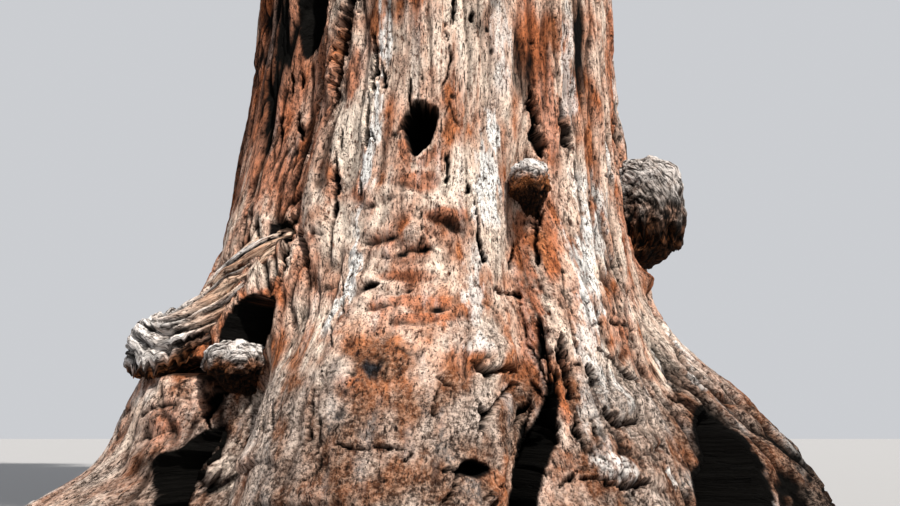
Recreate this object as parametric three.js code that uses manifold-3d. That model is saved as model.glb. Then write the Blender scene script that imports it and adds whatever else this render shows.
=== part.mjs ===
// Giant sequoia tree, scaled evenly from 84 m to 40 m. Millimetres, +Z up.
// The origin is the centre of the flat cut at ground level, and the side with the hole faces -Y.
// Azimuths are in degrees round the trunk: 0 is the front (-Y), 90 is right (+X), 180 is the back.
import * as THREE from "three";
import { mergeVertices } from "three/addons/utils/BufferGeometryUtils.js";
import Module from "manifold-3d";

const wasm = await Module();
wasm.setup();

const { degToRad, radToDeg, clamp, lerp } = THREE.MathUtils;

// Overall sizes
const TREE_HEIGHT = 40000;
const TRUNK_TOP = 37900;
const CLEAR = 0.5; // gap between solids that touch, measured along the radius of the limb that carries

// Trunk column: radius at breast height, where the taper would end, and the flare at the foot
const COLUMN_RADIUS = 1170;
const TAPER_END = 39000;
const TAPER_CURVE = 1.9;
const TAPER_SHARE = 0.75;
const FLARE = 620;
const FLARE_HEIGHT = 1100;
const COLUMNS = 52;
const COLUMN_CROWDING = 0.3; // 0 spaces the trunk's facets evenly, and more crowds them towards the front
const ROWS = 30;
const ROW_EVENNESS = 0.12; // 1 spaces the trunk's rows evenly, and less crowds them towards the foot

// Shallow flutes that run up the whole trunk: how many, how deep as a share of the radius, and their phase
const FLUTES = [
  { count: 7, depth: 0.02, phase: 0.6, twist: 0.05 },
  { count: 11, depth: 0.014, phase: 2.1, twist: -0.03 },
  { count: 4, depth: 0.018, phase: 4.0, twist: 0.02 },
];

// Root buttresses: reach is how far each adds to the radius at the ground, height is where it has mostly gone,
// edge is how suddenly it goes, and square is how flat its crest is
const BUTTRESSES = [
  { azimuth: 81, width: 15, reach: 850, height: 1200, edge: 3.5, square: 2.4 },
  { azimuth: -74, width: 17, reach: 350, height: 1480, edge: 5, square: 2.4 },
  { azimuth: -74, width: 15, reach: 400, height: 480, edge: 4, square: 2 },
  { azimuth: -70, width: 22, reach: 165, height: 2300, edge: 3, square: 2 },
  { azimuth: -14, width: 24, reach: 330, height: 1300, edge: 5, square: 3.4 },
  { azimuth: -6, width: 22, reach: 130, height: 1420, edge: 12, square: 4 },
  { azimuth: 34, width: 13, reach: 260, height: 900, edge: 2, square: 2.4 },
  { azimuth: 122, width: 15, reach: 560, height: 1000, edge: 2, square: 2.2 },
  { azimuth: 160, width: 16, reach: 640, height: 1250, edge: 2.4, square: 2.2 },
  { azimuth: -154, width: 15, reach: 480, height: 950, edge: 2, square: 2.2 },
  { azimuth: -117, width: 16, reach: 600, height: 1150, edge: 2.2, square: 2.2 },
];

// Long grooves: azimuths at the listed heights, width as an angle, depth, and the heights they start and end at
const GROOVES = [
  { heights: [0, 460, 700, 970, 1400, 2160, 2600, 9000], azimuths: [9, 12, 16, 19, 19.5, 23, 27, 30],
    width: 4.2, depth: 130, from: 300, to: 2700 },
  { heights: [0, 460, 1400, 2600, 9000], azimuths: [9, 12, 19.5, 27, 31],
    width: 6, depth: 55, from: 2300, to: 9000 },
  { heights: [0, 1500, 2200, 3800, 9000], azimuths: [-47, -42, -44, -40, -36],
    width: 7, depth: 150, from: 1500, to: 8000 },
  { heights: [0, 1500], azimuths: [-50, -43], width: 7, depth: 330, from: -900, to: 1450 },
];

// Openings in the foot: each is an outline in the plane that faces its azimuth, cut in to floor, which is a
// distance from the trunk's axis
const KNOT_HOLE = { azimuth: 0, side: -88, height: 2435, width: 125, rise: 178, floor: 630 };
const FOOT_GAP = { azimuth: 0, side: 560, lean: 300, top: 1000, width: 105, floor: 850 };
const CAVE = { azimuth: 47, side: 560, top: 880, width: 240, floor: 1100 };
const LEFT_HOLLOW = { azimuth: -36, side: -165, height: 1385, width: 165, rise: 130, floor: 1030 };
const CUT_END = 3200; // past the trunk's bark on every side
const CUT_FOOT = -50; // below the ground, so that an opening runs right down to it

// Burls: centre, half sizes along X, Y and Z, and how lumpy they are
const BURLS = {
  burl_right: { centre: [1370, -120, 2200], half: [270, 270, 375], lumps: 0.07, droop: 0.35 },
  burl_knob: { centre: [526, -1150, 2150], half: [112, 150, 132], lumps: 0.05, droop: 0.3 },
  burl_left: { centre: [-1490, -560, 1280], half: [390, 330, 225], lumps: 0.09, droop: -0.25 },
  burl_inner: { centre: [-1110, -960, 1170], half: [175, 190, 125], lumps: 0.08, droop: 0.2 },
};

// Crown: masses of foliage wind up the trunk by the golden angle. Most end a bough, but one above the limit, or
// closer to the bark than the reach, grows from the trunk itself.
const MASS_COUNT = 26;
const FIRST_MASS = 15300;
const LAST_MASS = 37300;
const BOUGH_LIMIT = 33200;
const BOUGH_REACH = 500;
const GOLDEN_ANGLE = 137.508;
const FIRST_AZIMUTH = 40;
const CROWN_HEIGHTS = [13000, 16000, 20000, 25000, 30000, 34000, 37000, 39000, 40000];
const CROWN_RADII = [4600, 5900, 6700, 6700, 5900, 4700, 3300, 2100, 900];
const MASS_HALF = { out: 2450, side: 2950, up: 2300 };
const MASS_GAP = 60;
const SETTLING_PASSES = 40;
const SETTLING_STEP = 0.3;
const LEADER_HALF = { out: 1550, side: 1550, up: 1650 };

// Boughs: radius at the root of the lowest, and how much thinner they are at the tip and up the tree. A limb's
// very foot is wider by LIMB_FOOT. A bough starts inside the trunk and ends at the inner side of its mass, below
// the middle by a share of the mass's height.
const BOUGH_ROOT = 300;
const BOUGH_TIP_SHARE = 0.5;
const BOUGH_TOP_SHARE = 0.45;
const LIMB_FOOT = 1.25;
const ROOT_DEPTH = 0.8;
const TIP_OUT = 0.95;
const TIP_DROP = 0.35;
const BOUGH_SIDES = 6;
const BOUGH_STEPS = 4;

// What a mass is made of: a stem, a lumpy core that reaches this share of the way out, and sprays of needles.
// A spray is a three-sided twig from the stem that widens into a blade with two teeth on each side. Its rows are
// given as shares of its length, with a width for each.
const CORE_SHARE = 0.66;
const STEM_SIDES = 4;
const STEM_RADIUS = 90;
const STEM_TIP_SHARE = 0.6;
const SPRAYS = 6;
const SPRAY_SHIFT = 0.22;
const SPRAY_ROWS = [0, 0.7, 0.77, 0.85, 0.92, 1];
const SPRAY_WIDTHS = [0.08, 0.14, 1, 0.45, 0.8, 0];
const SPRAY_SPREAD = 0.28;
const SPRAY_THICKNESS = 0.3;

const barkMaterial = new THREE.MeshStandardMaterial({ color: 0xa9714f, roughness: 0.95, metalness: 0 });
const burlMaterial = new THREE.MeshStandardMaterial({ color: 0x8f8078, roughness: 0.95, metalness: 0 });
const foliageMaterial = new THREE.MeshStandardMaterial({ color: 0x4d6b43, roughness: 0.9, metalness: 0 });

// A repeatable number from 0 to 1 for item i and draw k.
function draw(i, k) {
  const value = Math.sin(i * 127.1 + k * 311.7 + 74.7) * 43758.5453;
  return value - Math.floor(value);
}

// Straight-line reading of a table of values over heights.
function read(heights, values, z) {
  if (z <= heights[0]) return values[0];
  for (let i = 1; i < heights.length; i++) {
    if (z <= heights[i]) {
      const share = (z - heights[i - 1]) / (heights[i] - heights[i - 1]);
      return lerp(values[i - 1], values[i], share);
    }
  }
  return values[values.length - 1];
}

// The smallest turn from angle b to angle a, in degrees.
function turn(a, b) {
  return ((((a - b + 180) % 360) + 360) % 360) - 180;
}

// A smooth rise from 0 at a to 1 at b.
function rise(a, b, x) {
  const t = clamp((x - a) / (b - a), 0, 1);
  return t * t * (3 - 2 * t);
}

// The outward direction at an azimuth.
function outward(azimuth) {
  const a = degToRad(azimuth);
  return new THREE.Vector3(Math.sin(a), -Math.cos(a), 0);
}

function columnRadius(z) {
  const share = clamp(z / TAPER_END, 0, 1);
  return COLUMN_RADIUS * (1 - share ** TAPER_CURVE) ** TAPER_SHARE + FLARE * Math.exp(-z / FLARE_HEIGHT);
}

// The trunk's radius at an azimuth and height: column and flare, flutes, buttresses, then grooves.
function trunkRadius(azimuth, z) {
  const column = columnRadius(z);
  let radius = column;
  for (const { count, depth, phase, twist } of FLUTES) {
    radius += column * depth * Math.cos(count * degToRad(azimuth) + phase + (twist * z) / 1000);
  }
  for (const { azimuth: at, width, reach, height, edge, square } of BUTTRESSES) {
    const across = Math.abs(turn(azimuth, at)) / width;
    radius += reach * Math.exp(-(across ** square)) * Math.exp(-((z / height) ** edge));
  }
  for (const { heights, azimuths, width, depth, from, to } of GROOVES) {
    const across = turn(azimuth, read(heights, azimuths, z)) / width;
    const along = rise(from, from + 500, z) * (1 - rise(to - 600, to, z));
    radius -= depth * Math.exp(-across * across) * along;
  }
  return radius;
}

// A closed geometry as a solid, with its shared vertices merged.
function solidOf(geometry) {
  const bare = geometry.clone();
  bare.deleteAttribute("normal");
  bare.deleteAttribute("uv");
  const merged = mergeVertices(bare, 1e-3);
  return new wasm.Manifold(
    new wasm.Mesh({
      numProp: 3,
      vertProperties: new Float32Array(merged.attributes.position.array),
      triVerts: new Uint32Array(merged.index.array),
    }),
  );
}

function geometryOf(solid) {
  const { vertProperties, triVerts } = solid.getMesh();
  const geometry = new THREE.BufferGeometry();
  geometry.setAttribute("position", new THREE.BufferAttribute(vertProperties, 3));
  geometry.setIndex(new THREE.BufferAttribute(triVerts, 1));
  geometry.computeVertexNormals();
  return geometry;
}

// Moves each vertex of a geometry by a rule that changes it in place.
function reshape(geometry, rule) {
  const position = geometry.attributes.position;
  const point = new THREE.Vector3();
  for (let i = 0; i < position.count; i++) {
    rule(point.fromBufferAttribute(position, i));
    position.setXYZ(i, point.x, point.y, point.z);
  }
  return geometry;
}

// The trunk as a cylinder whose rows crowd towards the foot and whose columns crowd towards the front,
// with each vertex moved out to the trunk's radius. extra makes it a little fatter all over.
function trunkColumn(extra) {
  const cylinder = new THREE.CylinderGeometry(1, 1, 1, COLUMNS, ROWS);
  reshape(cylinder, (p) => {
    const up = p.y + 0.5;
    const z = (TRUNK_TOP + extra) * lerp(up ** 3, up, ROW_EVENNESS);
    const around = Math.atan2(p.x, p.z);
    const azimuth = radToDeg(around - COLUMN_CROWDING * Math.sin(around));
    const onAxis = Math.hypot(p.x, p.z) < 0.5;
    const radius = onAxis ? 0 : trunkRadius(azimuth, z) + extra;
    p.copy(outward(azimuth).multiplyScalar(radius)).setZ(z);
  });
  return solidOf(cylinder);
}

// A cutter: an outline drawn in the plane that faces an azimuth, x to the right and y up, run in from outside.
function cutter(outline, { azimuth, floor }) {
  const settings = { depth: CUT_END - floor, bevelEnabled: false, curveSegments: 4 };
  const facing = outward(azimuth);
  const right = new THREE.Vector3(-facing.y, facing.x, 0);
  const frame = new THREE.Matrix4().makeBasis(right, new THREE.Vector3(0, 0, 1), facing);
  frame.setPosition(facing.clone().multiplyScalar(floor));
  return solidOf(new THREE.ExtrudeGeometry(outline, settings).applyMatrix4(frame));
}

// An egg standing on its point, as the knot hole is.
function eggOutline({ side, height, width, rise: up }) {
  const points = [];
  const count = 14;
  for (let i = 0; i < count; i++) {
    const a = (2 * Math.PI * i) / count;
    const narrowing = Math.sin(a) < 0 ? 1 - 0.35 * Math.sin(a) ** 2 : 1;
    points.push(new THREE.Vector2(side + width * narrowing * Math.cos(a), height + up * Math.sin(a)));
  }
  return new THREE.Shape(points);
}

// A wedge that opens towards the ground and leans to the left as it falls.
function wedgeOutline({ side, lean, top, width }) {
  const shape = new THREE.Shape();
  shape.moveTo(side + width * 0.25, top);
  shape.quadraticCurveTo(side - width * 0.6, top * 0.7, side - lean - width, CUT_FOOT);
  shape.lineTo(side - lean + width, CUT_FOOT);
  shape.quadraticCurveTo(side + width * 0.7, top * 0.6, side + width * 0.25, top);
  return shape;
}

// An arch whose crown leans towards the trunk.
function archOutline({ side, top, width }) {
  const shape = new THREE.Shape();
  shape.moveTo(side - width * 2.6, CUT_FOOT);
  shape.lineTo(side - width * 1.3, top * 0.8);
  shape.quadraticCurveTo(side - width * 1.05, top * 1.02, side - width * 0.4, top);
  shape.quadraticCurveTo(side + width * 0.5, top * 0.95, side + width * 0.9, top * 0.5);
  shape.lineTo(side + width * 0.6, CUT_FOOT);
  return shape;
}

function trunkSolid() {
  const cuts = [
    cutter(eggOutline(KNOT_HOLE), KNOT_HOLE),
    cutter(wedgeOutline(FOOT_GAP), FOOT_GAP),
    cutter(archOutline(CAVE), CAVE),
    cutter(eggOutline(LEFT_HOLLOW), LEFT_HOLLOW),
  ];
  return cuts.reduce((trunk, cut) => trunk.subtract(cut), trunkColumn(0));
}

// A burl: a lumpy ball. droop narrows its underside, or its top where it is negative.
function burlSolid({ centre, half, lumps, droop }, trunkClear) {
  const ball = new THREE.SphereGeometry(1, 12, 8);
  reshape(ball, (p) => {
    const unit = p.clone().normalize();
    const around = Math.atan2(unit.y, unit.x);
    const swell = 1 + lumps * (Math.sin(3 * around + 5 * unit.z) + Math.cos(5 * around - 3 * unit.z));
    const narrow = 1 + droop * Math.min(unit.z * Math.sign(droop), 0) * Math.sign(droop);
    p.set(unit.x * half[0] * narrow, unit.y * half[1] * narrow, unit.z * half[2]);
    p.multiplyScalar(swell).add(new THREE.Vector3(...centre));
  });
  return solidOf(ball).subtract(trunkClear);
}

// A tapering limb along a curve, flat at both ends, with a wider foot.
function limbSolid(curve, rootRadius, tipRadius, sides, steps) {
  const frames = curve.computeFrenetFrames(steps, false);
  const cylinder = new THREE.CylinderGeometry(tipRadius, rootRadius, 1, sides, steps);
  reshape(cylinder, (p) => {
    const step = Math.round((p.y + 0.5) * steps);
    const swell = step === 0 ? LIMB_FOOT : 1;
    const offset = frames.normals[step].clone().multiplyScalar(p.x * swell);
    offset.addScaledVector(frames.binormals[step], -p.z * swell);
    p.copy(curve.getPointAt(step / steps)).add(offset);
  });
  return solidOf(cylinder);
}

// How far a mass's space reaches from its centre along a direction, seen square on.
function reachAlong({ out, side, up, half }, direction) {
  const parts = [half.out * out.dot(direction), half.side * side.dot(direction), half.up * up.dot(direction)];
  return Math.hypot(...parts);
}

// How far two spaces would have to be apart, less how far they are, and the way from one to the other.
function overlapOf(one, two) {
  const between = two.centre.clone().sub(one.centre);
  const distance = between.length();
  between.normalize();
  const reach = reachAlong(one, between) + reachAlong(two, between) + MASS_GAP;
  return { between, distance, reach };
}

// Puts a mass on the crown's outline at its azimuth and height.
function place(space, azimuth, height) {
  const distance = Math.max(read(CROWN_HEIGHTS, CROWN_RADII, height) * space.fill - space.half.out, 0);
  space.azimuth = azimuth;
  space.out = outward(azimuth);
  space.side = new THREE.Vector3(-space.out.y, space.out.x, 0);
  space.centre = space.out.clone().multiplyScalar(distance).setZ(height);
}

// Lets the masses push one another apart round the crown and up and down, a little at a time.
function settle(spaces) {
  for (let pass = 0; pass < SETTLING_PASSES; pass++) {
    const shift = spaces.map(() => new THREE.Vector3());
    for (let i = 0; i < spaces.length; i++) {
      for (let j = i + 1; j < spaces.length; j++) {
        const { between, distance, reach } = overlapOf(spaces[i], spaces[j]);
        if (distance >= reach) continue;
        shift[i].addScaledVector(between, (distance - reach) * SETTLING_STEP);
        shift[j].addScaledVector(between, (reach - distance) * SETTLING_STEP);
      }
    }
    spaces.forEach((space, i) => {
      if (space.leader) return;
      const height = clamp(space.centre.z + shift[i].z, FIRST_MASS, LAST_MASS);
      const around = shift[i].dot(space.side) / Math.max(space.centre.dot(space.out), 1000);
      place(space, space.azimuth + radToDeg(around), height);
    });
  }
}

// Shrinks spaces that would still meet until a flat gap lies between each two.
function keepApart(spaces) {
  for (let i = 0; i < spaces.length; i++) {
    for (let j = i + 1; j < spaces.length; j++) {
      const { distance, reach } = overlapOf(spaces[i], spaces[j]);
      const share = (distance - MASS_GAP) / (reach - MASS_GAP);
      if (share >= 1) continue;
      for (const { half } of [spaces[i], spaces[j]]) {
        half.out *= share;
        half.side *= share;
        half.up *= share;
      }
    }
  }
}

// A point of a mass's space, from a direction and a share of the way out.
function pointIn({ centre, out, side, up, half }, direction, share) {
  return centre
    .clone()
    .addScaledVector(out, half.out * direction.x * share)
    .addScaledVector(side, half.side * direction.y * share)
    .addScaledVector(up, half.up * direction.z * share);
}

// The directions of a mass's sprays: an even spiral over the ball, each shifted a little by its seed.
function sprayDirection(seed, i) {
  const z = 1 - (2 * i + 1) / SPRAYS;
  const around = degToRad(GOLDEN_ANGLE * i + 360 * draw(seed, 1));
  const ring = Math.sqrt(1 - z * z);
  return new THREE.Vector3(
    ring * Math.cos(around) + SPRAY_SHIFT * (draw(seed, 10 + i) - 0.5),
    ring * Math.sin(around) + SPRAY_SHIFT * (draw(seed, 40 + i) - 0.5),
    z,
  ).normalize();
}

// A spray of needles on its twig, from root to tip. across is the way its blade is wide.
function spraySolid(root, tip, across) {
  const along = tip.clone().sub(root);
  const length = along.length();
  const flat = new THREE.Vector3().crossVectors(along, across).normalize();
  const last = SPRAY_ROWS.length - 1;
  const cone = new THREE.CylinderGeometry(0, 1, 1, 3, last);
  reshape(cone, (p) => {
    const row = Math.round((p.y + 0.5) * last);
    const around = Math.atan2(p.x, p.z);
    const onAxis = Math.hypot(p.x, p.z) < 1e-6;
    const width = onAxis ? 0 : SPRAY_WIDTHS[row] * SPRAY_SPREAD * length;
    const thickness = row > 0 ? SPRAY_THICKNESS : 1;
    p.copy(root).addScaledVector(along, SPRAY_ROWS[row]);
    p.addScaledVector(across, -Math.sin(around) * width);
    p.addScaledVector(flat, Math.cos(around) * width * thickness);
  });
  return solidOf(cone);
}

// Whether two solids meet, told from their boxes first.
function meets(a, b) {
  const [one, two] = [a.boundingBox(), b.boundingBox()];
  for (let i = 0; i < 3; i++) {
    if (one.min[i] > two.max[i] || two.min[i] > one.max[i]) return false;
  }
  return !a.intersect(b).isEmpty();
}

// The core of a mass: a ball with a few lumps of its own.
function coreSolid(space) {
  const { seed } = space;
  const ball = new THREE.IcosahedronGeometry(1, 1);
  reshape(ball, (p) => {
    const unit = p.clone().normalize();
    const lumps = 0.15 * Math.sin(4 * unit.x + seed) * Math.cos(3 * unit.y - seed);
    const waves = 0.07 * Math.sin(5 * unit.z + seed);
    p.copy(pointIn(space, unit, CORE_SHARE * (1 + lumps + waves)));
  });
  return solidOf(ball);
}

// Spray i of a mass. Its twig leaves the outer end of the stem, and the leader's first spray is the tree's top.
function sprayOf(space, stem, i) {
  const { seed, up, side } = space;
  const crowning = space.leader && i === 0;
  const direction = crowning ? up : sprayDirection(seed, i);
  const root = stem.getPoint(lerp(0.8, 1, draw(seed, 130 + i)));
  const tip = pointIn(space, direction, crowning ? 1 : lerp(0.88, 1, draw(seed, 70 + i)));
  const level = crowning ? side.clone() : new THREE.Vector3().crossVectors(direction, up).normalize();
  const across = level.addScaledVector(up, draw(seed, 100 + i) - 0.5);
  across.projectOnPlane(tip.clone().sub(root).normalize()).normalize();
  return spraySolid(root, tip, across);
}

// One mass: a stem from its root to the middle of its space, sprays that branch from the stem, and a smaller
// core that they stand out of. A spray that would touch one of the limbs is skipped, and the core is cut clear.
function massSolid(space, stemRoot, stemWay, limbs) {
  const bend = stemRoot.clone().addScaledVector(stemWay, stemRoot.distanceTo(space.centre) * 0.4);
  const stem = new THREE.QuadraticBezierCurve3(stemRoot, bend, space.centre);
  const solids = [limbSolid(stem, STEM_RADIUS, STEM_RADIUS * STEM_TIP_SHARE, STEM_SIDES, 2)];
  const core = coreSolid(space);
  const near = limbs.filter((limb) => meets(limb, core));
  solids.push(near.reduce((left, limb) => left.subtract(limb), core));
  for (let i = 0; i < SPRAYS; i++) {
    const spray = sprayOf(space, stem, i);
    if (!limbs.some((limb) => meets(limb, spray))) solids.push(spray);
  }
  return wasm.Manifold.union(solids);
}

// The largest piece of a solid, without loose scraps.
function largestPiece(solid) {
  return solid.decompose().reduce((best, piece) => (piece.volume() > best.volume() ? piece : best));
}

// The plan of the crown: the space of each mass, an ellipsoid with one axis pointing out from the trunk.
function planCrown() {
  const spaces = [];
  const up = new THREE.Vector3(0, 0, 1);
  for (let k = 0; k < MASS_COUNT; k++) {
    const share = k / (MASS_COUNT - 1);
    const height = lerp(FIRST_MASS, LAST_MASS, share ** 0.9);
    const size = lerp(1, 0.5, share ** 2) * lerp(0.86, 1.08, draw(k, 3));
    const half = { out: MASS_HALF.out * size, side: MASS_HALF.side * size, up: MASS_HALF.up * size };
    const space = { half, up, fill: lerp(0.9, 1, draw(k, 5)), seed: k + 1 };
    place(space, FIRST_AZIMUTH + GOLDEN_ANGLE * k, height);
    spaces.push(space);
  }
  const leader = { half: { ...LEADER_HALF }, up, fill: 0, seed: 90, leader: true };
  place(leader, 0, TREE_HEIGHT - LEADER_HALF.up);
  spaces.push(leader);
  settle(spaces);
  keepApart(spaces);
  leader.centre.z = TREE_HEIGHT - leader.half.up;
  return spaces;
}

// Where a bough meets its mass.
function boughTip({ centre, out, half }) {
  const tip = centre.clone().addScaledVector(out, -half.out * TIP_OUT);
  tip.z -= half.up * TIP_DROP;
  return tip;
}

// Whether a mass ends a bough.
function hasBough(space) {
  const tip = boughTip(space);
  const reach = tip.dot(space.out) - columnRadius(tip.z);
  return !space.leader && space.centre.z < BOUGH_LIMIT && reach > BOUGH_REACH;
}

// A bough: level or a little downward out of the trunk, then lifting into its mass.
function boughCurve(space) {
  const tip = boughTip(space);
  const reach = tip.dot(space.out) - columnRadius(tip.z);
  const rootHeight = tip.z - lerp(0.1, 0.5, draw(space.seed, 4)) * reach;
  const root = space.out.clone().multiplyScalar(columnRadius(rootHeight) * ROOT_DEPTH).setZ(rootHeight);
  const bend = root.clone().lerp(tip, 0.6);
  bend.z = lerp(root.z, tip.z, 0.2) - reach * 0.08;
  bend.addScaledVector(space.side, reach * 0.3 * (draw(space.seed, 6) - 0.5));
  return new THREE.QuadraticBezierCurve3(root, bend, tip);
}

// The bough of a space. extra makes it a little fatter.
function boughSolid(space, extra) {
  const share = (space.centre.z - FIRST_MASS) / (BOUGH_LIMIT - FIRST_MASS);
  const size = lerp(1, BOUGH_TOP_SHARE, share) * lerp(0.85, 1.1, draw(space.seed, 7));
  const rootRadius = BOUGH_ROOT * size + extra;
  return limbSolid(space.curve, rootRadius, rootRadius * BOUGH_TIP_SHARE, BOUGH_SIDES, BOUGH_STEPS);
}

const tree = new THREE.Group();
tree.name = "giant_sequoia_tree";

function addNode(name, solid, material) {
  const mesh = new THREE.Mesh(geometryOf(largestPiece(solid)), material);
  mesh.name = name;
  tree.add(mesh);
}

const trunkClear = trunkColumn(CLEAR);
addNode("trunk", trunkSolid(), barkMaterial);
for (const [name, burl] of Object.entries(BURLS)) addNode(name, burlSolid(burl, trunkClear), burlMaterial);

const spaces = planCrown();
const bearing = spaces.filter(hasBough);
for (const space of bearing) space.curve = boughCurve(space);
const limbs = [trunkClear, ...bearing.map((space) => boughSolid(space, CLEAR))];

bearing.forEach((space, i) => {
  const label = String(i + 1).padStart(2, "0");
  const way = space.curve.getTangent(1);
  const root = space.curve.getPoint(1).addScaledVector(way, CLEAR);
  addNode(`bough_${label}`, boughSolid(space, 0).subtract(trunkClear), barkMaterial);
  addNode(`foliage_${label}`, massSolid(space, root, way, limbs), foliageMaterial);
});

spaces.filter((space) => !space.curve && !space.leader).forEach((space, i) => {
  const height = space.centre.z - TIP_DROP * space.half.up;
  const root = space.out.clone().multiplyScalar(trunkRadius(space.azimuth, height) * ROOT_DEPTH).setZ(height);
  const mass = massSolid(space, root, space.out, limbs).subtract(trunkClear);
  addNode(`foliage_top_${i + 1}`, mass, foliageMaterial);
});

const leader = spaces.find((space) => space.leader);
const leaderRoot = new THREE.Vector3(0, 0, TRUNK_TOP + 2 * CLEAR);
addNode("foliage_leader", massSolid(leader, leaderRoot, leader.up, limbs), foliageMaterial);

export default tree;
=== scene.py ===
"""The looks of a giant sequoia tree: bark relief on its trunk and boughs, weathered burls, and crown foliage.

Lengths are metres. An azimuth is in degrees round the trunk: 0 faces the camera (-Y), 90 is its right (+X).
"""

import math

import bpy
import numpy as np
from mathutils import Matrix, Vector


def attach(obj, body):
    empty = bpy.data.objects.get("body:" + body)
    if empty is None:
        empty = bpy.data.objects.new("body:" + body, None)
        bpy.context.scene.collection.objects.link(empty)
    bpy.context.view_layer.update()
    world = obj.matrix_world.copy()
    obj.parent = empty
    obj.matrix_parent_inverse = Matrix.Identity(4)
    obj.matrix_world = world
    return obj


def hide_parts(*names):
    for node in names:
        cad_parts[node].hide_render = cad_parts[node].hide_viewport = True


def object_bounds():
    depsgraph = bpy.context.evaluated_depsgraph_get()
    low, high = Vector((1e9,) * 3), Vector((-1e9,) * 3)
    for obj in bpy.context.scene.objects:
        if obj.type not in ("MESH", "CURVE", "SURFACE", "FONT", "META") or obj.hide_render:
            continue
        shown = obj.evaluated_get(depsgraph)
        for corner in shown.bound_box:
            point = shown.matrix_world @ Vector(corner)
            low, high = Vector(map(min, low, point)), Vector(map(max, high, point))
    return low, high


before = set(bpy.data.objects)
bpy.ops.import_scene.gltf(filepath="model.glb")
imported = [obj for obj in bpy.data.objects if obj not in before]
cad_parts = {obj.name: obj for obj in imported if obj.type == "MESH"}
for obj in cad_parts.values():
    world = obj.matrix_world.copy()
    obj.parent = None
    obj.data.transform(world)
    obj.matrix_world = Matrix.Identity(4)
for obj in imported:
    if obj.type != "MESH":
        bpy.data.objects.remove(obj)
cad_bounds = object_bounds()

# The camera stands low in front of the trunk and looks a little upwards.
CAMERA_PLACE = (0.085, -6.54, 0.76)
CAMERA_PITCH = 10.5
LENS = 40
SENSOR = 36
FAR_CLIP = 3000

UP = np.array([0.0, 0.0, 1.0])

# The trunk's main form, the same named values as the solids have.
TRUNK_TOP = 37.9
COLUMN_RADIUS = 1.17
TAPER_END = 39.0
TAPER_CURVE = 1.9
TAPER_SHARE = 0.75
FLARE = 0.62
FLARE_HEIGHT = 1.1

# Flutes round the trunk: how many, their depth as a share of the radius, their phase, and their twist a
# metre.
FLUTES = [(7, 0.02, 0.6, 0.05), (11, 0.014, 2.1, -0.03), (4, 0.018, 4.0, 0.02)]

# Root buttresses: azimuth, half width in degrees, reach, height, edge and squareness.
BUTTRESSES = [
    (81, 15, 0.85, 1.2, 3.5, 2.4),
    (-74, 17, 0.35, 1.48, 5, 2.4),
    (-74, 15, 0.40, 0.48, 4, 2),
    (-70, 22, 0.165, 2.3, 3, 2),
    (-14, 24, 0.33, 1.3, 5, 3.4),
    (-6, 22, 0.13, 1.42, 12, 4),
    (34, 13, 0.26, 0.9, 2, 2.4),
    (122, 15, 0.56, 1.0, 2, 2.2),
    (160, 16, 0.64, 1.25, 2.4, 2.2),
    (-154, 15, 0.48, 0.95, 2, 2.2),
    (-117, 16, 0.60, 1.15, 2.2, 2.2),
]

# Grooves up the trunk: heights, azimuth at each height, half width in degrees, depth, and where it starts
# and ends.
GROOVES = [
    ([0, 0.46, 0.7, 0.97, 1.4, 2.16, 2.6, 9], [9, 12, 16, 19, 19.5, 23, 27, 30], 4.2, 0.13, 0.3, 2.7),
    ([0, 0.46, 1.4, 2.6, 9], [9, 12, 19.5, 27, 31], 6, 0.055, 2.3, 9),
    ([0, 1.5, 2.2, 3.8, 9], [-47, -42, -44, -40, -36], 7, 0.15, 1.5, 8),
    ([0, 1.5], [-50, -43], 7, 0.33, -0.9, 1.45),
]
GROOVE_START = 0.5
GROOVE_END = 0.6

# Lines that the bark's grain follows down the trunk: the azimuth at each of the heights.
GRAIN_HEIGHTS = [0, 0.45, 0.86, 1.08, 1.3, 1.55, 2.0, 2.4, 2.68, 3.3]
GRAIN_LINES = [
    [-180] * 10,
    [-105, -105, -105, -105, -104, -103, -102, -101, -100, -100],
    [-80, -80, -79, -78, -76, -72, -64, -60, -58, -57],
    [-56, -54, -50.6, -47, -42, -41.5, -42.5, -38, -33, -31],
    [-17, -15.5, -16.5, -18, -19, -20, -18.5, -17.5, -17, -17],
    [0, 0, 1, 2, 3, 3.2, 3.2, 3.2, 3.3, 3.3],
    [15, 17, 20.5, 22.3, 23.3, 23.6, 24.4, 25.5, 27, 28],
    [28, 29, 31, 34, 37, 39, 39.7, 39.8, 39.8, 40.6],
    [43, 44, 46, 48.5, 51, 54, 55, 56.5, 60, 62],
    [81, 81, 81, 81, 81, 81, 81, 81, 82, 83],
    [112, 112, 112, 111, 110, 109, 108, 107, 107, 107],
    [180] * 10,
]


def turn(a, b):
    """How far azimuth a is from azimuth b, between -180 and 180 degrees."""
    return (a - b + 180) % 360 - 180


def rise(low, high, x):
    """0 below low, 1 above high, and 3t^2 - 2t^3 between them."""
    t = np.clip((x - low) / (high - low), 0, 1)
    return t * t * (3 - 2 * t)


def lerp(a, b, t):
    """The value a share t of the way from a to b."""
    return a + (b - a) * t


def bell(x, power=2):
    """1 at 0, and less on both sides of it: exp(-x^power)."""
    return np.exp(-(x**power))


def unit(vectors):
    """Each vector divided by its length."""
    return vectors / np.maximum(np.linalg.norm(vectors, axis=-1, keepdims=True), 1e-9)


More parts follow.
